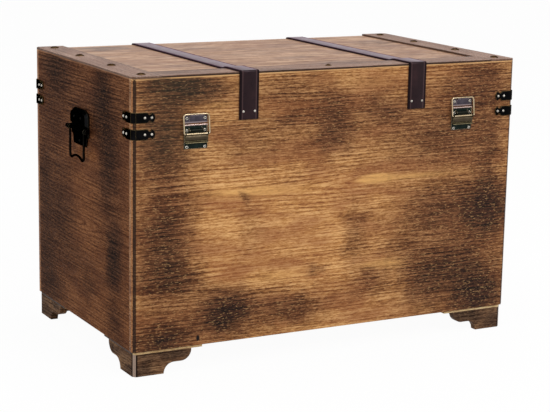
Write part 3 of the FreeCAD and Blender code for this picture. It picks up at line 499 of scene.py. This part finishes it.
for board in (foot_end, foot_side):
    tree = board.tree
    from_side, from_face = depths(board, FOOT_SET_BACK)
    corner = add(tree, "Math", [from_side, from_face], "ADD")
    ragged = add(tree, "Math", [board.threads, 0.0010, corner], "MULTIPLY_ADD")
    fade(board, ragged, 0.0082, 0.0064, 1.0, "1d130e")
    # of the 5 mm flat on the corner, the middle two thirds were sanded to pale wood
    off = add(tree, "Math", [from_side, from_face], "SUBTRACT")
    off = add(tree, "Math", [off], "ABSOLUTE")
    middle = add(tree, "MapRange", [off, 0.0038, 0.0032])
    flat = add(tree, "MapRange", [corner, 0.0056, 0.0052, 0.0, 0.9])
    lay(board, add(tree, "Math", [flat, middle], "MULTIPLY"), "a58f80")
cap_wood = wood("raw_pine_cap", "xzy", ("b08c5a", "dcbe8a", "f0dcae"),
                ("5a4028", "7a5a3c", "a08058"), [(0.0, 0.1, 1)], smudge=0.3, blush="b89464",
                toast=("8a6844", "a88458", "c8a678"))
cap_end = -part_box("front_left_foot_cap")[0][0]
off_x = add(cap_wood.tree, "Math", [cap_wood.x], "ABSOLUTE")
fade(cap_wood, off_x, cap_end - 0.0012, cap_end - 0.0004, 1.0, "35241a")
corners = ("front_left", "front_right", "rear_left", "rear_right")
dress(foot_end, *(corner + "_foot_end_board" for corner in corners))
dress(foot_side, *(corner + "_foot_side_board" for corner in corners))
dress(cap_wood, *(corner + "_foot_cap" for corner in corners))

# %% [markdown]
# ## Plated and painted metal
#
# The small metal parts are pressed from thin steel. Brackets and base plates are chemically
# blackened and then tumbled, which rubs their edges back to brass colour. The loop is brass
# wire, the keeper has a greyer plate, the lever an olive one, and the handle is japanned black.
# A metal's base colour is its reflection, so these are dark colours with a sheen, not paint.
#
# The Bevel node gives the normal that a slightly rounded edge would have. Where that differs
# from the true normal there is an edge, so the edge colour needs no change to the solids' shapes:
# it is wear on most parts and a painted highlight on the loop wire.

# %% Metals
# how alike the rounded and the true normal are where the edge colour sets in, and where it is full
SETS_IN, FULL = 0.995, 0.81643


def metal(name, tone, dull, rubbed, roughness, reach=0.0010, patch=0.012, **surface):
    """Aged plated metal: cloudy tone, lighter edges and faint dents; the edges are wear, on the loop
    wire a painted highlight.
    """
    part = start_finish(name, Metallic=1.0, Roughness=roughness, **surface)
    tree = part.tree
    cloud = add(tree, "TexNoise", {"Vector": part.place, "Scale": 1 / patch, "Detail": 3.0,
                                   "Roughness": 0.6})
    part.colour = add(tree, "ValToRGB", [cloud], stops=[(0.32, dull), (0.68, tone)])
    rounded = add(tree, "Bevel", {"Radius": reach}, samples=6)
    true = add(tree, "NewGeometry").outputs["Normal"]
    same = add(tree, "VectorMath", [rounded, true], "DOT_PRODUCT").outputs["Value"]
    fade(part, same, SETS_IN, FULL, 1.0, rubbed)
    scuffs = add(tree, "TexNoise", {"Vector": part.place, "Scale": 1 / 0.0022, "Detail": 2.0})
    satin = add(tree, "MapRange", [scuffs, 0.3, 0.7, roughness - 0.07, roughness + 0.09])
    tree.links.new(satin.outputs["Result"], part.shader.inputs["Roughness"])
    bump = add(tree, "Bump", {"Strength": 0.25, "Distance": 0.0003, "Height": scuffs,
                              "Normal": rounded})
    tree.links.new(bump.outputs["Normal"], part.shader.inputs["Normal"])
    return part


bracket_metal = metal("blackened_steel", "121112", "0a0a0a", "7c6a46", 0.34, reach=0.0008,
                      Specular_Tint=colour("484644"))
base_metal = metal("blackened_latch_plate", "222b27", "141b18", "b09c80", 0.30)
keeper_metal = metal("grey_keeper_plate", "565058", "38333a", "8a7c7c", 0.30)
lever_metal = metal("olive_lever_plate", "4c4234", "3e3529", "7a7050", 0.36)
# the loop wire's pale edge colour is a painted highlight
loop_brass = metal("pale_brass_wire", "cbb89a", "a8926e", "eadcd0", 0.26)
handle_iron = metal("japanned_iron", "151516", "0b0b0c", "36322a", 0.30,
                    Specular_Tint=colour("66625e"))
bail_iron = metal("handled_iron_bar", "161411", "0b0a09", "4c4530", 0.28,
                  Specular_Tint=colour("4a463a"))
hinge_iron = metal("blackened_hinge_steel", "242324", "1a1a1b", "8a7850", 0.36)
nail_bright = metal("tinned_nail", "c2bcb2", "8e877c", "e0dbd0", 0.26)
stud_bronze = metal("hammered_bronze_stud", "5c4934", "33281b", "7c6648", 0.34, patch=0.004,
                    Specular_Tint=colour("8a7a68"))
screw_steel = metal("zinc_screw", "cfc8bc", "a39c8f", "eee9de", 0.26)
# the screws' cross recess is painted dark: painted shade where the head sinks in
recess_shade = metal("screw_recess_shade", "100e0c", "080706", "1a1612", 0.5)

# The rolled top of the latch plate and the foot of the keeper carry painted highlights, pale lines
# where those rounded edges catch the light. The lever's turned lip is paler and its barrel darker.
# Heights are in metres.
for part, start, end, coat in ((base_metal, 0.3742, 0.3748, "c8b0a8"),
                               (lever_metal, 0.3505, 0.3500, "8a8060"),
                               (lever_metal, 0.3615, 0.3635, "1d211d"),
                               (keeper_metal, 0.3808, 0.3800, "8f8080")):
    fade(part, part.z, start, end, 0.9, coat)

for level in ("lower", "upper"):
    dress(bracket_metal, *("%s_%s_bracket" % (corner, level) for corner in corners))
for hand in ("left", "right"):
    dress(base_metal, hand + "_latch_base")
    dress(keeper_metal, hand + "_latch_keeper")
    dress(lever_metal, hand + "_latch_lever")
    dress(handle_iron, hand + "_handle_plate")
    dress(hinge_iron, hand + "_hinge_lower_leaf", hand + "_hinge_upper_leaf")

# %% [markdown]
# ## Making pieces
#
# Every new piece is modelled in a bmesh at its final place, so its object stays at the origin.
# `keep` turns a bmesh into an object, shades it smooth except at sharp edges, gives it its
# finish and hangs it on the body that it moves with. `stamp` copies a small shape to a place,
# and `turned` makes such a shape on a lathe.

# %% Helpers for shapes
def mesh_of(bm, name):
    """Turns a bmesh into a mesh."""
    mesh = bpy.data.meshes.new(name)
    bm.to_mesh(mesh)
    bm.free()
    return mesh


def show(name, data):
    """Puts a mesh, a lamp or a camera into the scene."""
    thing = bpy.data.objects.new(name, data)
    bpy.context.scene.collection.objects.link(thing)
    return thing


def keep(bm, name, body, *finishes, slot=None, instead_of=(), crease=32):
    """Makes a finished piece of a bmesh."""
    bmesh.ops.recalc_face_normals(bm, faces=bm.faces)
    mesh = mesh_of(bm, name)
    mesh.polygons.foreach_set("use_smooth", [True] * len(mesh.polygons))
    mesh.set_sharp_from_angle(angle=math.radians(crease))
    for finish in finishes:
        mesh.materials.append(finish.material)
    piece = show(name, mesh)
    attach(piece, body)
    if instead_of:
        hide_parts(*instead_of)
    print("%s on %s, %d faces" % (name, body, len(mesh.polygons)))


def stamp(bm, shape, place, out, turn=0.0):
    """Adds a copy of a small mesh, standing on place and pointing out."""
    before = len(bm.verts)
    bm.from_mesh(shape)
    bm.verts.ensure_lookup_table()
    stand = Vector(out).to_track_quat("Z", "Y").to_matrix().to_4x4()
    bmesh.ops.transform(bm, verts=bm.verts[before:], matrix=(
        Matrix.Translation(Vector(place) * MM) @ stand @ Matrix.Rotation(turn, 4, "Z")))


def turned(name, profile, steps=20):
    """A closed shape turned on a lathe from a profile of (radius, height) in millimetres."""
    bm = bmesh.new()
    verts = [bm.verts.new((r * MM, 0.0, h * MM)) for r, h in profile]
    edges = [bm.edges.new(pair) for pair in zip(verts, verts[1:])]
    bmesh.ops.spin(bm, geom=verts + edges, cent=(0, 0, 0), axis=(0, 0, 1), dvec=(0, 0, 0),
                   angle=math.tau, steps=steps, use_merge=True, use_duplicate=False)
    bmesh.ops.remove_doubles(bm, verts=bm.verts, dist=1e-6)
    bmesh.ops.recalc_face_normals(bm, faces=bm.faces)
    return mesh_of(bm, name)


# %% [markdown]
# ## Nails and screws
#
# A dome nail is a cap of thin metal with a small flat brim, so it is turned from its profile.
# The studs round the top are hammered by hand: their caps get a few flats. A screw is a low
# dome with a cross sunk in it, cut out with a plus-shaped punch.

# %% Nail and screw shapes
small_nail = turned("small_nail", [(0, 1.7), (0.9, 1.55), (1.6, 1.1), (2.05, 0.45), (2.3, 0.1),
                                   (2.3, 0.0), (0, 0.0)], 18)
strap_nail = turned("strap_nail", [(0, 1.5), (0.8, 1.4), (1.5, 1.0), (1.95, 0.4), (2.15, 0.1),
                                   (2.15, 0.0), (0, 0.0)], 18)
rim_stud = turned("rim_stud", [(0, 2.4), (2.2, 2.3), (3.9, 1.95), (5.3, 1.4), (6.3, 0.8),
                               (6.9, 0.35), (7.0, 0.0), (0, 0.0)], 20)
little_stud = turned("little_stud", [(0, 2.0), (1.7, 1.9), (3.2, 1.4), (4.3, 0.7), (4.8, 0.25),
                                     (4.9, 0.0), (0, 0.0)], 18)


def hammer(mesh, seed):
    """Knocks shallow flats into a cap."""
    for vertex in mesh.vertices:
        x, y, z = (v / MM for v in vertex.co)
        if z > 0.5:
            dent = math.sin(x * 1.7 + seed) * math.cos(y * 1.9 + seed * 2.3)
            vertex.co.z += 0.22 * dent * MM


def screw_shape(name, radius, rise):
    """A low domed head with a crossed recess."""
    head = turned(name + "_head", [(0, rise), (radius * 0.55, rise * 0.94), (radius * 0.82, rise * 0.7),
                                   (radius * 0.97, rise * 0.3), (radius, 0.0), (0, 0.0)], 24)
    punch = bmesh.new()
    bmesh.ops.create_grid(punch, x_segments=3, y_segments=3, size=radius * 0.66 * MM)
    for vertex in punch.verts:
        for axis in (0, 1):
            if abs(vertex.co[axis]) < radius * 0.4 * MM:
                vertex.co[axis] = math.copysign(radius * 0.19 * MM, vertex.co[axis])
    off = [f for f in punch.faces
           if min(abs(f.calc_center_median().x), abs(f.calc_center_median().y)) > radius * 0.20 * MM]
    bmesh.ops.delete(punch, geom=off, context="FACES")
    bmesh.ops.translate(punch, verts=punch.verts, vec=(0, 0, rise * 0.3 * MM))
    bmesh.ops.solidify(punch, geom=punch.faces[:], thickness=-rise * MM)
    bmesh.ops.recalc_face_normals(punch, faces=punch.faces)
    blank = show(name + "_blank", head)
    cutter = show(name + "_cutter", mesh_of(punch, name + "_punch"))
    cut = blank.modifiers.new("cross", "BOOLEAN")
    cut.operation, cut.object, cut.solver = "DIFFERENCE", cutter, "EXACT"
    ready = blank.evaluated_get(bpy.context.evaluated_depsgraph_get())
    mesh = bpy.data.meshes.new_from_object(ready)
    for thing in (blank, cutter):
        bpy.data.objects.remove(thing)
    # faces in the cross recess take the second finish, the painted shade
    for face in mesh.polygons:
        deep = max(mesh.vertices[i].co.z for i in face.vertices) < rise * 0.99 * MM
        inside = face.center.xy.length < radius * 0.6 * MM
        steep = abs(face.normal.z) < 0.5
        low = face.center.z < rise * 0.6 * MM
        face.material_index = 1 if inside and face.center.z > 0.01 * MM and (steep or low) else 0
    return mesh


hammer(rim_stud, 0.6)
hammer(little_stud, 1.9)
plate_screw = screw_shape("plate_screw", 2.5, 1.25)
print("faces: stud %d, nail %d, screw %d" % (len(rim_stud.polygons), len(small_nail.polygons),
                                             len(plate_screw.polygons)))

# %% [markdown]
# ## Where the fasteners go
#
# Studs follow the middle of the side strips, and one small stud sits in the middle of the front
# one. Two bright nails hold each strap end, two hold each bracket arm, and the latch, handle
# and hinge plates are screwed. Places are in millimetres.

# %% Studs and nails
# a nail or screw stands on the metal or leather that it holds, sunk 0.1 mm into it
BRACKET_OUT, STRAP_OUT, LATCH_FACE, HINGE_FACE = 1.4, 2.5, -200.1, 202.4
STRAP_FACES = (MIDDLE_Y - HALF_DEEP - STRAP_OUT, MIDDLE_Y + HALF_DEEP + STRAP_OUT)


def fasten(name, body, shape, places, out, *finishes, turn=0.5):
    """Puts one kind of fastener at several places, given in millimetres."""
    bm = bmesh.new()
    for i, place in enumerate(places):
        stamp(bm, shape, place, out if not isinstance(out, list) else out[i], turn * (i + 1))
    keep(bm, name, body, *finishes)


for hand, side in HANDS:
    fasten(hand + "_rim_studs", "lid", rim_stud,
           [(side * STUD_X, y, RIM_TOP) for y in (-175, -63, 65, 177)], (0, 0, 1), stud_bronze)
    fasten(hand + "_strap_nails", "lid", strap_nail,
           [(side * STRAP_X + off, y, 391.0) for y in STRAP_FACES for off in (-9.6, 9.6)],
           [(0, -1, 0), (0, -1, 0), (0, 1, 0), (0, 1, 0)], nail_bright)
fasten("middle_rim_stud", "lid", little_stud, [(1, -175.5, RIM_TOP)], (0, 0, 1), stud_bronze)

for corner in corners:
    side = -1 if "left" in corner else 1
    face = -1 if "front" in corner else 1
    for level, body, height in (("lower", "chest", 365.7), ("upper", "lid", 390.2)):
        nails = [(-18.8, BRACKET_OUT), (-29.8, BRACKET_OUT), (BRACKET_OUT, -18.8),
                 (BRACKET_OUT, -29.8)]
        places = [(side * (HALF_WIDE + x), MIDDLE_Y + face * (HALF_DEEP + y), height)
                  for x, y in nails]
        fasten("%s_%s_bracket_nails" % (corner, level), body, small_nail, places,
               [(0, face, 0)] * 2 + [(side, 0, 0)] * 2, nail_bright)

# %% Screws
HANDLE_UPPER, HANDLE_LOWER = 341.3, 337.5
for hand, side in HANDS:
    fasten(hand + "_latch_base_screws", "chest", plate_screw,
           [(side * LATCH_X + off, LATCH_FACE, z) for z in (343.0, 367.6) for off in (-14.6, 14.6)],
           (0, -1, 0), screw_steel, recess_shade, turn=0.7)
    fasten(hand + "_keeper_screws", "lid", plate_screw,
           [(side * LATCH_X + off, LATCH_FACE, 385.5) for off in (-14.6, 14.6)], (0, -1, 0),
           screw_steel, recess_shade, turn=1.1)
    fasten(hand + "_handle_screws", "chest", plate_screw,
           [(side * HANDLE_UPPER, MIDDLE_Y - 13.5, 363.5),
            (side * HANDLE_UPPER, MIDDLE_Y + 13.5, 363.5), (side * HANDLE_LOWER, MIDDLE_Y, 327.0)],
           (side, 0, 0), handle_iron, recess_shade, turn=0.9)
    for leaf, body, height in (("lower", "chest", 360.0), ("upper", "lid", 395.9)):
        fasten("%s_hinge_%s_screws" % (hand, leaf), body, plate_screw,
               [(side * LATCH_X + off, HINGE_FACE, height) for off in (-20, 0, 20)], (0, 1, 0),
               screw_steel, recess_shade, turn=0.8)

# %% [markdown]
# ## Wire bent to shape
#
# The latch loops and the handles' bails are round bar bent in a jig. The same is done here:
# a ring of points is drawn along by edge extrusion for each straight run and spun about the
# bend's centre for each corner, so the wire stays round everywhere.

# %% Bending wire
def bend(bm, ring, at, heading, normal, moves, steps=6):
    """Draws a ring of edges along. A move is a length, or (radius, degrees) to turn."""
    at, heading, normal = Vector(at), Vector(heading).normalized(), Vector(normal)
    for move in moves:
        if isinstance(move, tuple):
            radius, degrees = move
            aside = normal.cross(heading) * math.copysign(1, degrees)
            centre = at + aside * radius
            count = max(2, round(abs(degrees) / 90 * steps * (1 if radius < 10 * MM else 3)))
            made = bmesh.ops.spin(bm, geom=ring, cent=centre, axis=normal, dvec=(0, 0, 0),
                                  angle=math.radians(degrees), steps=count, use_merge=False,
                                  use_duplicate=False)["geom_last"]
            turn = Matrix.Rotation(math.radians(degrees), 3, normal)
            at = centre + turn @ (at - centre)
            heading = turn @ heading
        else:
            made = bmesh.ops.extrude_edge_only(bm, edges=ring)["geom"]
            bmesh.ops.translate(bm, verts=[g for g in made if isinstance(g, bmesh.types.BMVert)],
                                vec=heading * move)
            at = at + heading * move
        ring = [g for g in made if isinstance(g, bmesh.types.BMEdge)
                and all(abs((v.co - at).dot(heading)) < 1e-6 for v in g.verts)]
    return ring, at


def ring_at(bm, at, heading, radius, segments=14):
    """A round section of wire."""
    stand = Vector(heading).to_track_quat("Z", "Y").to_matrix().to_4x4()
    made = bmesh.ops.create_circle(bm, cap_ends=False, segments=segments, radius=radius,
                                   matrix=Matrix.Translation(at) @ stand)["verts"]
    return list({e for v in made for e in v.link_edges})


# %% Latch loops
LOOP_HALF, LOOP_RISE, LOOP_WIRE, LEAN = 20.6 * MM, 28.8 * MM, 1.2 * MM, math.radians(6.5)
LOW_BEND, HIGH_BEND, LOOP_Y, LOOP_Z = 1.9 * MM, 4.2 * MM, -205.0, 363.0
LEG = LOOP_RISE - LOW_BEND - HIGH_BEND
for hand, side in HANDS:
    bm = bmesh.new()
    ring = ring_at(bm, (0, 0, 0), (1, 0, 0), LOOP_WIRE)
    bend(bm, ring, (0, 0, 0), (1, 0, 0), (0, -1, 0), [
        LOOP_HALF - LOW_BEND, (LOW_BEND, 90), LEG, (HIGH_BEND, 90), 2 * (LOOP_HALF - HIGH_BEND),
        (HIGH_BEND, 90), LEG, (LOW_BEND, 90), LOOP_HALF - LOW_BEND])
    bmesh.ops.remove_doubles(bm, verts=bm.verts, dist=0.01 * MM)
    place = Vector((side * LATCH_X, LOOP_Y, LOOP_Z)) * MM
    bmesh.ops.transform(bm, verts=bm.verts, matrix=(
        Matrix.Translation(place) @ Matrix.Rotation(-LEAN, 4, "X")))
    keep(bm, hand + "_loop_wire", hand + "_loop", loop_brass, slot="loop_brass",
         instead_of=[hand + "_latch_loop"], crease=60)

# %% [markdown]
# ## Drop handles
#
# Each bail hangs from its rod by two forged eyes. Its legs run straight down, turn in a tight
# bend, and the grip rises in the middle to sit in the fingers. The eye is turned round the rod.

# %% Bails
# the legs start a little inside the eyes, by SUNK
ROD_X, ROD_Z = 342.4, 345.3
BAIL_HALF, BAIL_DROP, BAIL_BAR, BEND, ARCH_RISE = (v * MM for v in (28.4, 47.0, 1.9, 6.0, 5.5))
EYE_OUT, EYE_IN, EYE_HALF, EYE_ROUND, SUNK = (v * MM for v in (3.6, 2.0, 2.8, 0.5, 0.9))
ARCH = 2 * math.atan(ARCH_RISE / (BAIL_HALF - BEND))
GRIP = (BAIL_HALF - BEND) / math.sin(ARCH) - BEND
for hand, side in HANDS:
    bm = bmesh.new()
    start = Vector((0, -BAIL_HALF, -EYE_OUT + SUNK))
    leg = BAIL_DROP + start.z - BEND
    ring = ring_at(bm, start, (0, 0, -1), BAIL_BAR, 18)
    first = list(ring)
    degrees = math.degrees(ARCH)
    last, _ = bend(bm, ring, start, (0, 0, -1), (1, 0, 0), [
        leg, (BEND, 90 + degrees), (GRIP, -2 * degrees), (BEND, 90 + degrees), leg], steps=8)
    for loop in (first, last):
        bmesh.ops.contextual_create(bm, geom=loop)
    for end in (-BAIL_HALF, BAIL_HALF):
        section = [bm.verts.new((0, end + y, r)) for r, y in (
            (EYE_IN, -EYE_HALF), (EYE_OUT - EYE_ROUND, -EYE_HALF), (EYE_OUT, EYE_ROUND - EYE_HALF),
            (EYE_OUT, EYE_HALF - EYE_ROUND), (EYE_OUT - EYE_ROUND, EYE_HALF), (EYE_IN, EYE_HALF))]
        edges = [bm.edges.new(pair) for pair in zip(section, section[1:] + section[:1])]
        bmesh.ops.spin(bm, geom=section + edges, cent=(0, end, 0), axis=(0, 1, 0),
                       dvec=(0, 0, 0), angle=math.tau, steps=28, use_merge=True,
                       use_duplicate=False)
    bmesh.ops.translate(bm, verts=bm.verts, vec=Vector((side * ROD_X, MIDDLE_Y, ROD_Z)) * MM)
    keep(bm, hand + "_bail_bar", hand + "_bail", bail_iron, slot="handle_iron",
         instead_of=[hand + "_handle_bail"])

# %% [markdown]
# ## Leather straps
#
# Each strap is one strip of vegetable-tanned leather, dyed dark brown, with its edges
# burnished and a line creased along each side. It turns over the front strip, dips to the
# board behind it, lies flat to the back edge and turns down. It is drawn from its section, as
# the wire was.

# %% Leather
leather = start_finish("dyed_strap_leather", Roughness=0.30, Specular_IOR_Level=0.22,
                       Specular_Tint=colour("f0cfe0"), Sheen_Weight=0.28, Sheen_Roughness=0.35,
                       Sheen_Tint=colour("d088b4"))
tree = leather.tree
hide = add(tree, "TexNoise", {"Vector": leather.place, "Scale": 1 / 0.028, "Detail": 4.0,
                              "Roughness": 0.6})
leather.colour = add(tree, "ValToRGB", [hide],
                     stops=[(0.32, "120808"), (0.55, "1c0f0e"), (0.75, "2a1817")])
pebble = add(tree, "TexVoronoi", {"Vector": leather.place, "Scale": 1 / 0.0017},
             feature="SMOOTH_F1")
off_middle = add(tree, "Math", [leather.x], "ABSOLUTE")
off_middle = add(tree, "Math", [off_middle, STRAP_X * MM], "SUBTRACT")
off_middle = add(tree, "Math", [off_middle], "ABSOLUTE")
crease = add(tree, "Math", [off_middle, 0.0128, 0.0006], "COMPARE")
# a pale line beside each crease: painted highlight on the raised ridge
ridge_highlight = add(tree, "Math", [off_middle, 0.0114, 0.0008], "COMPARE")
lay(leather, add(tree, "Math", [ridge_highlight, 0.35], "MULTIPLY"), "5e4644")
edge = add(tree, "MapRange", [off_middle, 0.0118, 0.0136])
lay(leather, edge, "0e0707")
lay(leather, add(tree, "Math", [crease, 0.7], "MULTIPLY"), "120a09")
polish = add(tree, "MapRange", [hide, 0.3, 0.7, 0.26, 0.38])
matt_edge = add(tree, "Math", [edge, 0.62, polish], "MULTIPLY_ADD")
tree.links.new(matt_edge.outputs["Value"], leather.shader.inputs["Roughness"])
height = add(tree, "Math", [crease, -1.6, pebble], "MULTIPLY_ADD")
bump = add(tree, "Bump", {"Strength": 0.30, "Distance": 0.0003, "Height": height})
tree.links.new(bump.outputs["Normal"], leather.shader.inputs["Normal"])

# %% Straps
THICK, WIDE, OUTER = 2.6 * MM, 32 * MM, 3.2 * MM
STEP, STEP_BEND, STEP_LONG = math.radians(15.5), 12 * MM, 7.9 * MM
for hand, side in HANDS:
    low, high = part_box(hand + "_strap")
    bm = bmesh.new()
    bmesh.ops.create_circle(bm, cap_ends=True, segments=4, radius=1.0,
                            matrix=Matrix.Rotation(math.radians(45), 4, "Z"))
    spread = max(v.co.x for v in bm.verts)
    bmesh.ops.scale(bm, verts=bm.verts, vec=(WIDE / 2 / spread, THICK / 2 / spread, 1))
    bmesh.ops.bevel(bm, geom=bm.verts[:], offset=0.6 * MM, offset_type="OFFSET", segments=2,
                    profile=0.5, affect="VERTICES", material=-1)
    at = Vector((side * STRAP_X * MM, low[1] + THICK / 2, low[2]))
    bmesh.ops.translate(bm, verts=bm.verts, vec=at)
    bmesh.ops.delete(bm, geom=bm.faces[:], context="FACES_ONLY")
    first = bm.edges[:]
    turn = OUTER - THICK / 2
    up = high[2] - THICK / 2 - turn - low[2]
    # the dip begins where the front strip ends
    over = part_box("front_rim_strip")[1][1] - (low[1] + THICK / 2 + turn)
    drop = 2 * STEP_BEND * (1 - math.cos(STEP)) + STEP_LONG * math.sin(STEP)
    dip = 2 * STEP_BEND * math.sin(STEP) + STEP_LONG * math.cos(STEP)
    flat = (high[1] - low[1]) - THICK - 2 * turn - over - dip
    last, _ = bend(bm, first, at, (0, 0, 1), (-1, 0, 0),
                   [up, (turn, 90), over, (STEP_BEND, math.degrees(STEP)), STEP_LONG,
                    (STEP_BEND, -math.degrees(STEP)), *[flat / 6] * 6, (turn, 90), up - drop])
    print(hand, "strap drops %.2f mm behind the front strip" % (drop / MM))
    for loop in (first, last):
        bmesh.ops.contextual_create(bm, geom=loop)
    keep(bm, hand + "_strap_leather", "lid", leather, slot="leather",
         instead_of=[hand + "_strap"])

# %% [markdown]
# ## Stage, light and camera
#
# A pale floor meets a white surround, as in a product studio. The floor is lit like any
# surface, so it keeps the chest's shadow, and is lifted towards white for the camera and for
# reflections only. One wide lamp from the front right, two weaker ones from the left and from
# above, and an even surround keep every colour about as it is written. The camera has a long
# lens and stands to the left of the front, some 30 cm higher than the lid.

# %% Floor and surround
SURROUND, LIFT, FLOOR_HALF = 0.62, 0.96, 9.0


def seen(tree):
    """1 for rays that show the surround itself: from the camera, in gloss or through glass."""
    path = add(tree, "LightPath").outputs
    either = add(tree, "Math", [path["Is Camera Ray"], path["Is Glossy Ray"]], "MAXIMUM")
    return add(tree, "Math", [either, path["Is Transmission Ray"]], "MAXIMUM")


bm = bmesh.new()
bmesh.ops.create_grid(bm, x_segments=2, y_segments=2, size=FLOOR_HALF)
floor = show("floor", mesh_of(bm, "floor"))
paper = bpy.data.materials.new("white_paper_sweep")
paper.use_nodes = True
tree = paper.node_tree
tree.nodes.remove(tree.nodes["Principled BSDF"])
matt = add(tree, "BsdfDiffuse", {"Color": colour("f6f6f6")})
glow = add(tree, "Emission", {"Color": (1, 1, 1, 1), "Strength": 1.0})
lift = add(tree, "Math", [seen(tree), LIFT], "MULTIPLY")
both = add(tree, "MixShader", [lift, matt, glow])
tree.links.new(both.outputs["Shader"], tree.nodes["Material Output"].inputs["Surface"])
floor.data.materials.append(paper)

world = bpy.data.worlds.new("white_surround")
bpy.context.scene.world = world
world.use_nodes = True
tree = world.node_tree
level = add(tree, "Math", [seen(tree), 1.0 - SURROUND, SURROUND], "MULTIPLY_ADD")
tree.nodes["Background"].inputs["Color"].default_value = (1, 1, 1, 1)
tree.links.new(level.outputs["Value"], tree.nodes["Background"].inputs["Strength"])
print("surround at", SURROUND, "and floor", 2 * FLOOR_HALF, "m wide")

# %% Lamps
AIM = Vector((0, 0, 0.2))


def lamp(name, place, width, height, power):
    """A soft rectangular lamp, with its sizes in metres and its power in watts."""
    light = bpy.data.lights.new(name, "AREA")
    light.shape, light.size, light.size_y, light.energy = "RECTANGLE", width, height, power
    thing = show(name, light)
    thing.location = place
    thing.rotation_euler = (AIM - Vector(place)).to_track_quat("-Z", "Y").to_euler()
    print(name, power, "W")


lamp("front_softbox", (0.9, -2.6, 1.9), 1.6, 1.2, 34)
lamp("left_softbox", (-2.6, -1.0, 1.6), 1.2, 1.2, 12)
lamp("top_softbox", (0.2, 0.3, 2.6), 1.6, 1.6, 14)

# %% Camera
PLACE, FOCAL = (-1.2625, -2.3561, 0.7636), 107.84
BEARING, TILT, ROLL = 28.32, 12.01, 1.09

camera_data = bpy.data.cameras.new("camera")
camera_data.sensor_width = 36.0
camera_data.lens = FOCAL
camera = show("camera", camera_data)
camera.matrix_world = (Matrix.Translation(PLACE) @ Matrix.Rotation(math.radians(-BEARING), 4, "Z")
                       @ Matrix.Rotation(math.radians(90 - TILT), 4, "X")
                       @ Matrix.Rotation(math.radians(ROLL), 4, "Z"))
bpy.context.scene.camera = camera
bpy.context.scene.view_settings.view_transform = "Standard"
print("camera %.2f m from the chest" % (Vector(PLACE) - AIM).length)
